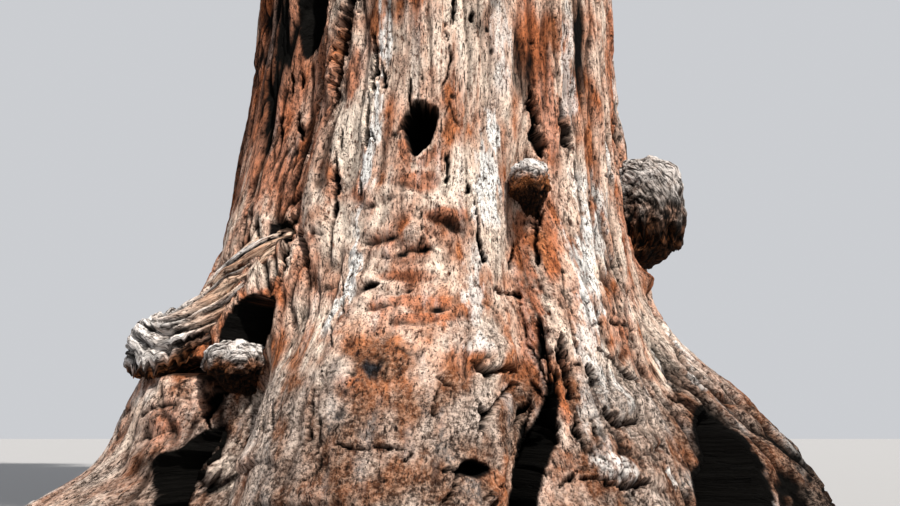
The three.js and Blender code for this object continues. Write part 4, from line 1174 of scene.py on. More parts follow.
def bark_wood(f, noises):
    """Broad colours: cinnamon to cream, brown strips, red where moist, grey old wood, and white streaks."""
    blotches, strips = noises["blotches"], noises["strips"]
    stipple = f.blend(0.5, noises["fibres"], noises["dabs"])
    pale = f.combine("ADD", f.tint("pale"), f.fall(blotches, 0.35, 0.7, -0.25, 0.35))
    base = f.mix(pale, f.tone(stipple, "cinnamon"), f.tone(stipple, "cream"))
    base = f.mix(f.fall(strips, 0.54, 0.72, 0.0, 0.6), base, colour(140, 78, 46))
    base = f.mix(f.product(f.tint("moist"), 0.85), base, f.tone(stipple, "moist red"))
    old = f.mix(pale, f.tone(noises["grit"], "dull wood"), f.tone(noises["grit"], "grey wood"))
    base = f.mix(f.product(f.tint("grey"), f.fall(blotches, 0.3, 0.65, 0.6, 1.0)), base, old)
    ragged = f.product(f.tint("streak"), f.fall(strips, 0.32, 0.50, 0.1, 1.0))
    return f.mix(ragged, base, f.tone(noises["dabs"], "white flecks"))


def bark_marks(f, noises, fissures, base):
    """Dark marks laid on in turn: specks, ticks, checks, fissures, furrows, hollows, char and then the dark
    tint; all but specks, ticks, checks and char are painted shade.
    """
    rough = f.tint("rough")
    checks = f.product(f.fall(f.cells(17, 4), 0.0, 0.04, 1.0, 0.0), f.fall(rough, 0.2, 1.0, 0.05, 0.4))
    furrows = f.product(f.fall(noises["strips"], 0.30, 0.44, 1.0, 0.0), f.fall(rough, 0.15, 1.0, 0.2, 0.95))
    # Fissures and furrows darken the valleys of the relief's noises: painted shade.
    marks = [
        (f.fall(noises["specks"], 0.37, 0.44, 0.9, 0.0), colour(30, 17, 12)),
        (f.fall(noises["ticks"], 0.34, 0.40, 0.9, 0.0), colour(20, 11, 8)),
        (checks, colour(30, 17, 12)),
        (f.product(fissures, f.fall(rough, 0.1, 0.7, 0.55, 1.0)), colour(16, 9, 7)),
        (furrows, colour(34, 17, 11)),
        (f.tint("hollow"), colour(40, 20, 12)),
        (f.tint("char"), f.tone(noises["dabs"], "soot")),
        (f.tint("dark"), colour(4, 3, 2)),
    ]
    for share, mark in marks:
        base = f.mix(share, base, mark)
    return base


def bark_material():
    """Fibrous cinnamon bark: pale ridges, white flecks, grey old wood, and painted shade, red-brown in
    hollows and black in cracks.
    """
    f = Finish("sequoia_bark", 0.9)
    noises = f.noises(BARK_NOISES)
    fissures = bark_fissures(f, noises)
    base = bark_marks(f, noises, fissures, bark_wood(f, noises))
    relief = f.relief([
        (noises["strips"], 0.03, 0.7),
        (f.blend(f.tint("grey"), noises["fibres"], noises["grit"]), 0.016, 1.0),
        (noises["dabs"], 0.010, 1.0),
        (f.fall(noises["ticks"], 0.33, 0.40), 0.012, 0.7),
        (f.fall(fissures, 0.0, 1.0, 1.0, 0.0), 0.010, 0.8),
    ])
    return f.finish(base, relief, f.fall(noises["specks"], 0.3, 0.7, 0.82, 0.97))


def burl_material():
    """Old burl wood: swirled grey ridges, white crests, a tan arm, black checks, brown undersides, and
    painted shade from the dark tint.
    """
    f = Finish("burl_wood", 0.9)
    noises = f.noises(BURL_NOISES)
    swirl, ridges, flecks = noises["swirl"], noises["ridges"], noises["flecks"]
    checks = f.cells(34, 9)
    base = f.mix(f.tint("pale"), f.tone(ridges, "worn burl"), f.tone(ridges, "bleached burl"))
    base = f.mix(f.tint("tan"), base, f.tone(ridges, "tan burl"))
    base = f.mix(f.tint("moist"), base, f.tone(ridges, "brown burl"))
    base = f.mix(f.fall(swirl, 0.45, 0.7, 0.0, 0.35), base, colour(128, 96, 74))
    base = f.mix(f.fall(flecks, 0.36, 0.46, 0.9, 0.0), base, colour(26, 20, 18))
    base = f.mix(f.fall(checks, 0.0, 0.06, 0.7, 0.0), base, colour(26, 20, 18))
    # Painted shade: the piece's dark tint, in grooves and underneath, goes nearly black.
    base = f.mix(f.tint("dark"), base, colour(5, 4, 3))
    relief = f.relief([(swirl, 0.02, 0.5), (ridges, 0.012, 0.9), (flecks, 0.006, 0.8), (checks, 0.010, 0.4)])
    return f.finish(base, relief)


def needle_material(name, dark, light):
    """One green of the foliage, lighter in places, with the fine rows of its scale leaves as relief."""
    f = Finish(name, 0.62)
    place = f.add("ShaderNodeTexCoord", {}).outputs["Object"]
    clumps = f.noise(place, 1.7, 3.0, 0.6)
    scales = f.noise(place, 60.0, 2.0, 0.6)
    base = f.mix(f.fall(clumps, 0.35, 0.65), colour(*dark), colour(*light))
    return f.finish(base, f.relief([(scales, 0.01, 0.6)]))


def dress(made, nodes):
    """Puts a piece on the tree's body, in place of the solids it stands for."""
    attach(made, "root")
    if nodes:
        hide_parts(*nodes)


# The most triangles that one piece has.
PIECE_LIMIT = 190000

# Painted shade in hollows: a hollow is relief that lies below the mean of a box of rows and columns round
# it, full at this depth in metres.
HOLLOW_ROWS = 4
HOLLOW_COLUMNS = 5
HOLLOW_DEPTH = 0.010
HOLLOW_STRENGTH = 0.55
CLOSE_ROWS = 0.03


def paint_hollow_shade(bark):
    """Painted shade: how hollow each place is. It counts half where the rows stand further apart."""
    hollow = np.clip((blurred(bark.relief, HOLLOW_ROWS, HOLLOW_COLUMNS) - bark.relief) / HOLLOW_DEPTH, 0, 1)
    row_steps = np.gradient(bark.heights)[:, None]
    bark.tints["hollow"] = np.where(row_steps < CLOSE_ROWS, hollow, 0.5 * hollow) * HOLLOW_STRENGTH


def trunk_rings(bark):
    """The trunk's surface: the main form and its relief, which is level at the ground and never below it."""
    azimuth = np.radians(bark.az)
    outwards = np.stack([np.sin(azimuth), -np.cos(azimuth), 0 * azimuth], axis=-1)
    form = outwards * bark.form[..., None] + bark.z[..., None] * UP
    ways = surface_normals(form)
    ways[..., 2] *= rise(0, 0.15, bark.z)
    rings = form + outwards * bark.dive[..., None] + ways * bark.relief[..., None]
    rings[..., 2] = np.maximum(rings[..., 2], 0)
    return rings


def build_trunk(material):
    """The trunk in closed bands from the ground to the tip, each under the limit of triangles."""
    bark = build_bark()
    rings = trunk_rings(bark)
    normals = surface_normals(rings)
    paint_hollow_shade(bark)
    rows, columns = bark.relief.shape
    band_rows = PIECE_LIMIT // (2 * columns)
    for count, first in enumerate(range(0, rows - 1, band_rows), start=1):
        part = np.s_[first:min(first + band_rows, rows - 1) + 1]
        tints = {key: np.clip(values[part], 0, 1) for key, values in bark.tints.items()}
        tints["grain"] = bark.grain[part]
        made = tube_object(f"trunk_bark_{count}", rings[part], tints, material, normals[part])
        dress(made, ["trunk"])


# Burls: centre, half sizes, the middle of the arcs that the grain follows as (x, z), how far the foot leans
# as a share of the half sizes, the profile from the top down as (radius share, height share), and how many
# rows it has. Then, by height share: about where the wood turns brown, how pale it is at its foot and top,
# with the paler top partly painted light, and where the painted shade on its downward faces starts and is
# full.
BURL_PLANS = {
    "burl_right": {
        "centre": (1.37, -0.12, 2.17), "half": (0.25, 0.27, 0.38),
        "arcs": (1.10, 2.12), "lean": (-0.62, 0.1),
        "profile": [(0, 1.02), (0.35, 1.03), (0.60, 0.99), (0.79, 0.88), (0.91, 0.68), (0.97, 0.45),
                    (1.0, 0.22), (1.02, 0.0), (0.97, -0.24), (0.85, -0.47), (0.67, -0.69), (0.49, -0.88),
                    (0.31, -1.04), (0, -1.12)],
        "rows": 140, "brown": -0.05, "pale": (-0.1, 0.42), "under": (0.62, 0.0),
    },
    "burl_knob": {
        "centre": (0.526, -1.15, 2.15), "half": (0.112, 0.150, 0.132),
        "arcs": (0.526, 2.02), "lean": (0.1, 0.3),
        "profile": [(0, 1.0), (0.4, 0.95), (0.72, 0.78), (0.93, 0.48), (1.0, 0.15), (0.98, -0.15),
                    (0.90, -0.38), (0.74, -0.58), (0.52, -0.80), (0.34, -1.1), (0.2, -1.35), (0, -1.45)],
        "rows": 84, "brown": 0.25, "pale": (0.15, 0.9), "under": (-0.15, -0.5),
    },
    "burl_inner": {
        "centre": (-1.11, -0.96, 1.17), "half": (0.175, 0.190, 0.125),
        "arcs": (-1.05, 1.0), "lean": (0.1, 0.3),
        "profile": [(0, 1.0), (0.4, 0.96), (0.72, 0.76), (0.93, 0.42), (1.0, 0.05), (0.96, -0.25),
                    (0.84, -0.45), (0.66, -0.60), (0.56, -0.9), (0.5, -1.2), (0.3, -1.4), (0, -1.45)],
        "rows": 84, "brown": -0.1, "pale": (0.1, 0.8), "under": (-0.15, -0.5),
    },
}


def hanging(places, upright, cell, seed):
    """Noise for what hangs down: cells of a size in metres, in which only a share of the height counts."""
    return layered_3d(places * np.array([1, 1, upright]) / cell, seed, 2)


def turned_profile(plan):
    """A burl's profile turned round, leaning at its foot, in shares of its half sizes."""
    rows = plan["rows"]
    profile = smooth_curve(plan["profile"], 12)
    steps = np.linalg.norm(np.diff(profile, axis=0), axis=1)
    at = np.concatenate([[0], np.cumsum(steps)]) / steps.sum()
    t = np.linspace(1, 0, rows + 2)[1:-1]
    ring = np.interp(t, at, profile[:, 0])[:, None]
    up = np.interp(t, at, profile[:, 1])[:, None]
    around = ring_angles(int(rows * 1.5))[None, :]
    lean = np.minimum(up, 0) ** 2
    x = ring * np.cos(around) + plan["lean"][0] * lean
    y = ring * np.sin(around) + plan["lean"][1] * lean
    return np.stack([x, y, up + 0 * around], axis=-1), ring, up


def burl_grain(places, arcs, size, swirl):
    """Where a burl's places lie along its grain: out from the middle of the arcs, forwards, and round it."""
    x, z = places[..., 0] - arcs[0], places[..., 2] - arcs[1]
    span = np.hypot(x, z) + 0.10 * size * swirl
    turned = np.arctan2(z, x) * 0.34
    return np.stack([span, places[..., 1] + 0.06 * swirl, turned + 0.03 * swirl], axis=-1)


def build_burl(name, plan, material):
    """A burl: its turned profile with lumps, arcs of grain, and a ragged lip over an underside in painted
    shade.
    """
    local, ring, up = turned_profile(plan)
    half = np.array(plan["half"])
    size = half.mean()
    places = local * half + np.array(plan["centre"])
    seed = 1200 + plan["rows"] + int(abs(plan["centre"][0]) * 100)
    grain = burl_grain(places, plan["arcs"], size, layered_3d(places / (0.55 * size), seed, 2))
    ridges = layered_3d(grain * np.array([30, 26, 5.5]), seed + 3, 3)
    fine = layered_3d(grain * np.array([75, 70, 16]), seed + 7, 2)
    lumps = layered_3d(places / (0.42 * size), seed + 11, 2)
    drips = np.clip(hanging(places, 0.15, 0.03, seed + 13), -0.5, 0.8)
    outwards = unit(local / np.array([1, 1, 1.3]) + 1e-6)
    push = size * (0.15 * lumps + 0.050 * ridges) + 0.014 * fine
    places = places + outwards * push[..., None]
    lip = bell((up + 0.36) / 0.16) * (ring > 0.7)
    places[..., 2] -= lip * 0.30 * half[2] * drips
    # Painted shade: dark in the grooves between ridges, and on faces that turn downwards below the plan's
    # under height.
    downward = np.clip(0.7 - surface_normals(places)[..., 2], 0, 1)
    under = rise(*plan["under"], up + 0.25 * lumps)
    dark = np.clip(-2.2 * ridges - 2.0 * fine - 0.15, 0, 1) + 0.9 * under * downward
    brown = rise(plan["brown"] + 0.25, plan["brown"] - 0.35, up + 0.5 * lumps)
    # Paler towards the top: bleached wood, and partly painted light from above.
    pale = lerp(*plan["pale"], rise(-0.1, 0.8, up)) + 0.5 * lumps + 0.3 * ridges
    tints = {"moist": brown, "dark": np.clip(dark, 0, 1), "tan": 0 * dark, "pale": np.clip(pale, 0, 1)}
    made = tube_object(name + "_wood", places, {"grain": grain, **tints}, material)
    dress(made, [name])


# The left burl and the twisted arm that holds it: points of the middle line from the outer end up into the
# trunk, each with half the size across it and half the size up.
LEFT_ARM = [
    (-1.79, -0.51, 1.26, 0.05, 0.05),
    (-1.75, -0.52, 1.25, 0.17, 0.15),
    (-1.62, -0.57, 1.26, 0.27, 0.20),
    (-1.46, -0.64, 1.28, 0.29, 0.22),
    (-1.34, -0.69, 1.38, 0.22, 0.17),
    (-1.22, -0.72, 1.51, 0.17, 0.15),
    (-1.12, -0.73, 1.67, 0.16, 0.13),
    (-0.99, -0.75, 1.82, 0.13, 0.10),
    (-0.86, -0.69, 1.93, 0.08, 0.07),
    (-0.79, -0.64, 2.00, 0.03, 0.03),
]
ARM_STEPS = 20
ARM_SIDES = 132
ARM_TWIST = 2.4
ARM_CAP = 0.62
ARM_GRAIN_RADIUS = 0.2

# The arm's strands, ropes and fine ridges: the cell in metres, twice across the grain and then along it,
# and the seed.
ARM_STRANDS = [((0.085, 0.085, 0.50), 881), ((0.040, 0.040, 0.22), 883), ((0.017, 0.017, 0.08), 885)]


def arm_surface(path, half_across, half_up, cap):
    """Rings round the arm, flatter beneath where the cap is, and how far up each place is on its ring."""
    across, below = carried_frames(path)
    around = ring_angles(ARM_SIDES)[None, :]
    upwards = np.sin(around) + 0 * cap
    flat = np.where(upwards < 0, lerp(1, 0.72, cap), 1.0)
    ring = (np.cos(around) * half_across[:, None])[..., None] * across[:, None]
    ring = ring - (np.sin(around) * flat * half_up[:, None])[..., None] * below[:, None]
    return ring, upwards


def arm_grain(along):
    """Where each place lies along strands that wind slowly round the arm, with a little waver."""
    wound = ring_angles(ARM_SIDES)[None, :] + ARM_TWIST * along
    level = [np.cos(wound) * ARM_GRAIN_RADIUS, np.sin(wound) * ARM_GRAIN_RADIUS]
    grain = np.stack([*level, along + 0 * wound], axis=-1)
    return grain + 0.03 * layered_3d(grain / 0.18, 880, 2)[..., None]


def build_left_burl(material):
    """The left burl: rings carried along the arm, swollen at its end, with strands that wind slowly round it.

    Strands are noise that is long along the arm. The end is hollow beneath, and its edge hangs in splinters.
    """
    line = smooth_curve(LEFT_ARM, ARM_STEPS)
    path, half_across, half_up = line[:, :3], line[:, 3], line[:, 4]
    along = run_along(path)[:, None]
    cap = 1 - rise(0.7 * ARM_CAP, 1.1 * ARM_CAP, along)
    ring, upwards = arm_surface(path, half_across, half_up, cap)
    grain = arm_grain(along)
    strands, ropes, fine = (layered_3d(grain / np.array(cell), seed, 2) for cell, seed in ARM_STRANDS)
    places = path[:, None] + ring
    lumps = layered_3d(places / 0.15, 887, 2)
    furrows = bell(strands / 0.09)
    thick = np.minimum(half_across, half_up)[:, None] / 0.2
    push = 0.05 * np.abs(strands) ** 0.5 - 0.045 * furrows + 0.022 * ropes + 0.010 * fine + 0.06 * cap * lumps
    places = places + unit(ring) * (push * np.clip(thick, 0.1, 1))[..., None]
    edge = bell((upwards + 0.50) / 0.30) * cap * np.clip(thick, 0, 1)
    places[..., 2] -= edge * (0.02 + 0.14 * np.clip(hanging(places, 0, 0.028, 889), 0, 0.7))
    # Painted shade: dark beneath the end's cap and in the furrows between strands; beneath the cap the wood
    # is also redder and less pale.
    under = rise(-0.25, -0.65, upwards) * cap
    dark = 0.85 * furrows * rise(-0.2, 0.2, lumps) + np.clip(-2.6 * ropes - 0.3, 0, 1)
    dark = dark + under * rise(-0.25, 0.2, hanging(places, 0.2, 0.035, 891))
    dark = dark + 0.8 * cap * rise(0.12, 0.35, -fine)
    tints = {
        "grain": grain,
        "dark": np.clip(dark, 0, 0.97),
        "moist": np.clip(under + 0.6 * rise(0.4, 0.8, along) * rise(0.05, 0.4, strands), 0, 1),
        "tan": 0.85 * rise(0.3, 0.75, along) * rise(-0.45, 0.1, strands + 0.5 * ropes),
        "pale": np.clip(0.80 + 0.8 * lumps + 0.5 * ropes - 0.5 * under, 0, 1),
    }
    tints = {key: value[::-1] for key, value in tints.items()}
    made = tube_object("burl_left_wood", places[::-1], tints, material)
    dress(made, ["burl_left"])


# The crown's plan, by the same rule and values as the solids.
TREE_HEIGHT = 40.0
MASS_COUNT = 26
FIRST_MASS = 15.3
LAST_MASS = 37.3
BOUGH_LIMIT = 33.2
BOUGH_REACH = 0.5
GOLDEN_ANGLE = 137.508
FIRST_AZIMUTH = 40
CROWN_HEIGHTS = [13, 16, 20, 25, 30, 34, 37, 39, 40]
CROWN_RADII = [4.6, 5.9, 6.7, 6.7, 5.9, 4.7, 3.3, 2.1, 0.9]
MASS_HALF = (2.45, 2.95, 2.3)
MASS_GAP = 0.06
SETTLING_PASSES = 40
SETTLING_STEP = 0.3
LEADER_HALF = (1.55, 1.55, 1.65)
BOUGH_ROOT = 0.3
BOUGH_TIP_SHARE = 0.5
BOUGH_TOP_SHARE = 0.45
LIMB_FOOT = 1.25
ROOT_DEPTH = 0.8
TIP_OUT = 0.95
TIP_DROP = 0.35
STEM_TIP = 0.05


def draw(i, k):
    """A repeatable number from 0 to 1 for item i and draw k: the fraction of a large multiple of a sine."""
    value = math.sin(i * 127.1 + k * 311.7 + 74.7) * 43758.5453
    return value - math.floor(value)


def outward(azimuth):
    """The level direction that points out of the trunk at an azimuth."""
    return np.array([math.sin(math.radians(azimuth)), -math.cos(math.radians(azimuth)), 0.0])


class Space:
    """The space of one foliage mass: an ellipsoid with half sizes outwards, sideways and up."""

    def __init__(self, half, fill, seed, azimuth, height, leader=False):
        self.half = np.array(half, float)
        self.fill = fill
        self.seed = seed
        self.leader = leader
        self.place(azimuth, height)

    def place(self, azimuth, height):
        """Puts the space on the crown's outline at its azimuth and height."""
        self.azimuth = azimuth
        self.out = outward(azimuth)
        self.side = np.array([-self.out[1], self.out[0], 0.0])
        self.axes = np.stack([self.out, self.side, UP])
        distance = max(np.interp(height, CROWN_HEIGHTS, CROWN_RADII) * self.fill - self.half[0], 0)
        self.centre = self.out * distance + UP * height

    def reach_along(self, direction):
        """How far the space reaches from its centre along a direction, seen square on."""
        return np.linalg.norm(self.half * (self.axes @ direction))

    def point(self, directions, share):
        """Places in the space, from directions in its own axes and a share of the way out."""
        return self.centre + (directions * self.half * share) @ self.axes

    def tip(self):
        """Where a bough meets the mass."""
        return self.centre - self.out * self.half[0] * TIP_OUT - UP * self.half[2] * TIP_DROP

    def bears_on_bough(self):
        """Whether the mass ends a bough instead of growing from the trunk."""
        tip = self.tip()
        reach = tip @ self.out - column_radius(tip[2])
        return not self.leader and self.centre[2] < BOUGH_LIMIT and reach > BOUGH_REACH


def overlap(one, two):
    """The way from one space to another, how far apart they are, and how far they would have to be."""
    between = two.centre - one.centre
    distance = np.linalg.norm(between)
    between = between / distance
    return between, distance, one.reach_along(between) + two.reach_along(between) + MASS_GAP


def settle(spaces):
    """Lets the masses push one another apart round the crown and up and down, a little at a time."""
    for _ in range(SETTLING_PASSES):
        shift = np.zeros((len(spaces), 3))
        for i, one in enumerate(spaces):
            for j in range(i + 1, len(spaces)):
                between, distance, reach = overlap(one, spaces[j])
                if distance < reach:
                    shift[i] += between * (distance - reach) * SETTLING_STEP
                    shift[j] += between * (reach - distance) * SETTLING_STEP
        for space, push in zip(spaces, shift):
            if not space.leader:
                height = min(max(space.centre[2] + push[2], FIRST_MASS), LAST_MASS)
                around = push @ space.side / max(space.centre @ space.out, 1)
                space.place(space.azimuth + math.degrees(around), height)


def keep_apart(spaces):
    """Shrinks spaces that would still meet until a flat gap lies between each two."""
    for i, one in enumerate(spaces):
        for two in spaces[i + 1:]:
            _, distance, reach = overlap(one, two)
            share = (distance - MASS_GAP) / (reach - MASS_GAP)
            if share < 1:
                one.half *= share
                two.half *= share


def plan_crown():
    """Masses wind up the trunk by the golden angle, smaller towards the top, and a leader ends the tree."""
    spaces = []
    for k in range(MASS_COUNT):
        share = k / (MASS_COUNT - 1)
        height = lerp(FIRST_MASS, LAST_MASS, share**0.9)
        size = lerp(1, 0.5, share**2) * lerp(0.86, 1.08, draw(k, 3))
        half = [h * size for h in MASS_HALF]
        fill = lerp(0.9, 1, draw(k, 5))
        spaces.append(Space(half, fill, k + 1, FIRST_AZIMUTH + GOLDEN_ANGLE * k, height))
    leader = Space(LEADER_HALF, 0, 90, 0, TREE_HEIGHT - LEADER_HALF[2], leader=True)
    spaces.append(leader)
    settle(spaces)
    keep_apart(spaces)
    leader.centre[2] = TREE_HEIGHT - leader.half[2]
    return spaces


def bezier(curve, t):
    """Points of a curve with one bend: (1-t)^2 root + 2t(1-t) bend + t^2 tip."""
    root, bend, tip = curve
    t = np.asarray(t, float)[..., None]
    return (1 - t) ** 2 * root + 2 * t * (1 - t) * bend + t * t * tip


def bough_curve(space):
    """A bough: level or a little downward out of the trunk, then lifting into its mass."""
    tip = space.tip()
    reach = tip @ space.out - column_radius(tip[2])
    root_height = tip[2] - lerp(0.1, 0.5, draw(space.seed, 4)) * reach
    root = space.out * column_radius(root_height) * ROOT_DEPTH + UP * root_height
    bend = lerp(root, tip, 0.6)
    bend[2] = lerp(root[2], tip[2], 0.2) - reach * 0.08
    bend = bend + space.side * reach * 0.3 * (draw(space.seed, 6) - 0.5)
    return root, bend, tip


def stem_curve(space, root, way):
    """The stem inside a mass: it leaves its root along the limb's way and bends to the space's middle."""
    bend = root + way * np.linalg.norm(space.centre - root) * 0.4
    return root, bend, space.centre


LIMB_SIDES = 26
LIMB_GRAIN_RADIUS = 0.35
BOUGH_POINTS = 30
STEM_POINTS = 15
TOP_STEM_POINTS = 24
TOP_STEM_ROOT = 0.11
LEADER_STEM_DEPTH = 0.4


def build_limb(name, path, radii, seed, material, nodes):
    """A bough with its stem: rings carried along the path, with ropes of bark along them, and knots."""
    across, above = carried_frames(path)
    around = ring_angles(LIMB_SIDES)[None, :]
    cosine, sine = np.cos(around), np.sin(around)
    u = np.broadcast_to(around / (2 * np.pi), (len(path), LIMB_SIDES))
    v = np.broadcast_to(run_along(path)[:, None], u.shape)
    ropes = layered(u * 9, v / 1.1, seed, 9, 2)
    knots = layered(u * 5, v / 0.45, seed + 5, 5, 2)
    fine = layered(u * 26, v / 0.3, seed + 9, 26, 1)
    radius = radii[:, None] * (1 + 0.22 * ropes + 0.16 * knots + 0.10 * fine)
    ring = cosine[..., None] * across[:, None] + sine[..., None] * above[:, None]
    rings = path[:, None] + radius[..., None] * ring
    level = [cosine * LIMB_GRAIN_RADIUS + 0 * v, sine * LIMB_GRAIN_RADIUS + 0 * v]
    tints = {
        "grain": np.stack([*level, v + 13.0 * seed], axis=-1),
        "pale": np.clip(0.15 + 0.9 * knots, 0, 1),
        "moist": np.clip(0.5 + 0.9 * ropes, 0, 1),
        "grey": np.clip(0.35 - 1.2 * ropes, 0, 0.8),
        # Painted shade between the ropes.
        "hollow": np.clip(-2.2 * ropes - 0.8 * fine, 0, 1) * 0.7,
        "rough": np.ones_like(v),
    }
    dress(tube_object(name, rings, tints, material), nodes)


def bough_and_stem(space):
    """A bough with a collar and the stem inside its mass: the path, its radii, and the stem's curve."""
    curve = bough_curve(space)
    way = (curve[2] - curve[1]) / np.linalg.norm(curve[2] - curve[1])
    stem = stem_curve(space, curve[2], way)
    share = (space.centre[2] - FIRST_MASS) / (BOUGH_LIMIT - FIRST_MASS)
    root = BOUGH_ROOT * lerp(1, BOUGH_TOP_SHARE, share) * lerp(0.85, 1.1, draw(space.seed, 7))
    t = np.linspace(0, 1, BOUGH_POINTS)
    path = np.vstack([bezier(curve, t), bezier(stem, np.linspace(0, 1, STEM_POINTS)[1:])])
    collar = 1 + (LIMB_FOOT - 1) * bell(t * 6) * 1.3
    thin = np.linspace(root * BOUGH_TIP_SHARE, STEM_TIP, STEM_POINTS)[1:]
    return path, np.concatenate([root * lerp(1, BOUGH_TIP_SHARE, t) * collar, thin]), stem


def top_stem(space):
    """A stem straight out of the trunk for a mass near the top, or up out of its tip for the leader."""
    height = space.centre[2] - TIP_DROP * space.half[2]
    radius = trunk_radius(np.array(float(space.azimuth)), np.array(height))
    root = space.out * radius * ROOT_DEPTH + UP * height
    way = space.out
    if space.leader:
        root = np.array([0, 0, TRUNK_TOP - LEADER_STEM_DEPTH])
        way = UP
    stem = stem_curve(space, root, way)
    path = bezier(stem, np.linspace(0, 1, TOP_STEM_POINTS))
    return path, np.linspace(TOP_STEM_ROOT, STEM_TIP, TOP_STEM_POINTS), stem


class Sprays:
    """The sprays of the whole crown and the middle lines of its twigs, to be joined into a few pieces."""

    def __init__(self):
        self.roots, self.ways, self.lengths, self.depths = [], [], [], []
        self.branches, self.twigs = [], []


def spiral_directions(count, turned=0.0):
    """Directions spread evenly over a ball: heights in equal steps, each turned on by the golden angle."""
    i = np.arange(count)
    z = 1 - (2 * i + 1) / count
    around = np.radians(GOLDEN_ANGLE) * i + turned
    ring = np.sqrt(1 - z * z)
    return np.stack([ring * np.cos(around), ring * np.sin(around), z], axis=-1)


CLUMPS = 17
CLUMP_OUT = 0.64
CLUMP_HALF = 0.40
CLUMP_TWIGS = 12
TWIG_SPRAYS = 6
BOUGH_CLUMPS = 5
TRUNK_CLUMPS = 84
TRUNK_CLUMPS_FROM = 13.6
TRUNK_CLUMPS_TO = 37.8


def sticks_along(paths, root, tip, sides):
    """Tapering sticks along many paths at once: their points, the quads of their walls, and their ends."""
    count, steps, _ = paths.shape
    along = unit(np.gradient(paths, axis=1))
    level = np.cross(along, UP)
    level = unit(level + 1e-6)
    above = np.cross(along, level)
    around = ring_angles(sides)
    radii = np.linspace(root, tip, steps)[None, :, None, None]
    ring = np.cos(around)[:, None] * level[:, :, None] + np.sin(around)[:, None] * above[:, :, None]
    rings = paths[:, :, None] + radii * ring
    ends = [np.arange(sides)[::-1], (steps - 1) * sides + np.arange(sides)]
    offsets = (np.arange(count) * steps * sides)[:, None, None]
    walls = (ring_faces(steps, sides)[None] + offsets).reshape(-1, 4)
    caps = (np.stack(ends)[None] + offsets).reshape(-1, sides)
    return rings.reshape(-1, 3), walls, caps


def grow_clump(crown, start, centre, half, axes, mass, rng):
    """A rounded clump: a branch from the limb to its middle, twigs all round it, and sprays along them.

    mass is the middle and the half sizes of what the clump is part of, which tell how deep each spray lies.
    """
    bend = lerp(start, centre, 0.55) - UP * 0.10 * np.linalg.norm(centre - start)
    branch = (start, bend, centre)
    ways = spiral_directions(CLUMP_TWIGS, rng.uniform(0, 6.28))
    ways = unit(ways + rng.uniform(-0.25, 0.25, (CLUMP_TWIGS, 3)))
    ends = centre + (ways * half * rng.uniform(0.40, 0.62, (CLUMP_TWIGS, 1))) @ axes
    starts = bezier(branch, rng.uniform(0.55, 0.97, CLUMP_TWIGS))
    bends = lerp(starts, ends, 0.5) - UP * 0.04
    twigs = bezier((starts[:, None], bends[:, None], ends[:, None]), np.linspace(0, 1, 3))
    shares = np.linspace(0.5, 1.0, TWIG_SPRAYS)[None, :, None]
    roots = (1 - shares) * starts[:, None] + shares * ends[:, None]
    ways = (ways @ axes)[:, None] + rng.normal(0, 0.45, (CLUMP_TWIGS, TWIG_SPRAYS, 3)) * [1, 1, 0.8]
    ways = unit(ways + UP * 0.15)
    lengths = np.mean(half) * 0.50 * rng.uniform(0.75, 1.15, (CLUMP_TWIGS, TWIG_SPRAYS))
    middle, reach = mass
    depths = np.linalg.norm(((roots + ways * lengths[..., None] * 0.5 - middle) @ axes.T) / reach, axis=-1)
    crown.roots.append(roots.reshape(-1, 3))
    crown.ways.append(ways.reshape(-1, 3))
    crown.lengths.append(lengths.ravel())
    crown.depths.append(depths.ravel())
    crown.branches.append(bezier(branch, np.linspace(0, 1, 6))[None])
    crown.twigs.append(twigs)


def grow_mass(crown, space, stem, rng):
    """One mass: branches leave its stem for rounded clumps of several sizes near its surface."""
    directions = spiral_directions(CLUMPS, 2 * np.pi * draw(space.seed, 1))
    directions = unit(directions + rng.uniform(-0.22, 0.22, directions.shape))
    sizes = rng.uniform(0.70, 1.22, CLUMPS)
    centres = space.point(directions, CLUMP_OUT * rng.uniform(0.72, 1.18, (CLUMPS, 1)))
    for centre, size in zip(centres, sizes):
        bare = trunk_radius(np.degrees(np.arctan2(centre[0], -centre[1])), centre[2])
        half = space.half * CLUMP_HALF * size
        if np.hypot(centre[0], centre[1]) < bare + 0.35 * half[0] and centre[2] < TRUNK_TOP:
            continue
        start = bezier(stem, lerp(0.35, 0.98, rng.uniform()))
        grow_clump(crown, start, centre, half, space.axes, (space.centre, space.half), rng)


def grow_along_bough(crown, space, path, rng):
    """Smaller clumps along a bough, on short branches that leave it sideways and upwards in turn."""
    for k in range(BOUGH_CLUMPS):
        share = lerp(0.34, 0.96, (k + rng.uniform(0.2, 0.8)) / BOUGH_CLUMPS)
        start = path[int(share * (BOUGH_POINTS - 1))]
        turned = space.side * (1 if k % 2 else -1) * rng.uniform(0.5, 1.0) + UP * rng.uniform(-0.25, 0.9)
        centre = start + unit(turned + 0.4 * space.out) * rng.uniform(0.45, 1.0)
        half = rng.uniform(0.60, 0.95) * np.array([1.1, 1.1, 0.85])
        grow_clump(crown, start, centre, half, space.axes, (centre, 1.5 * half), rng)


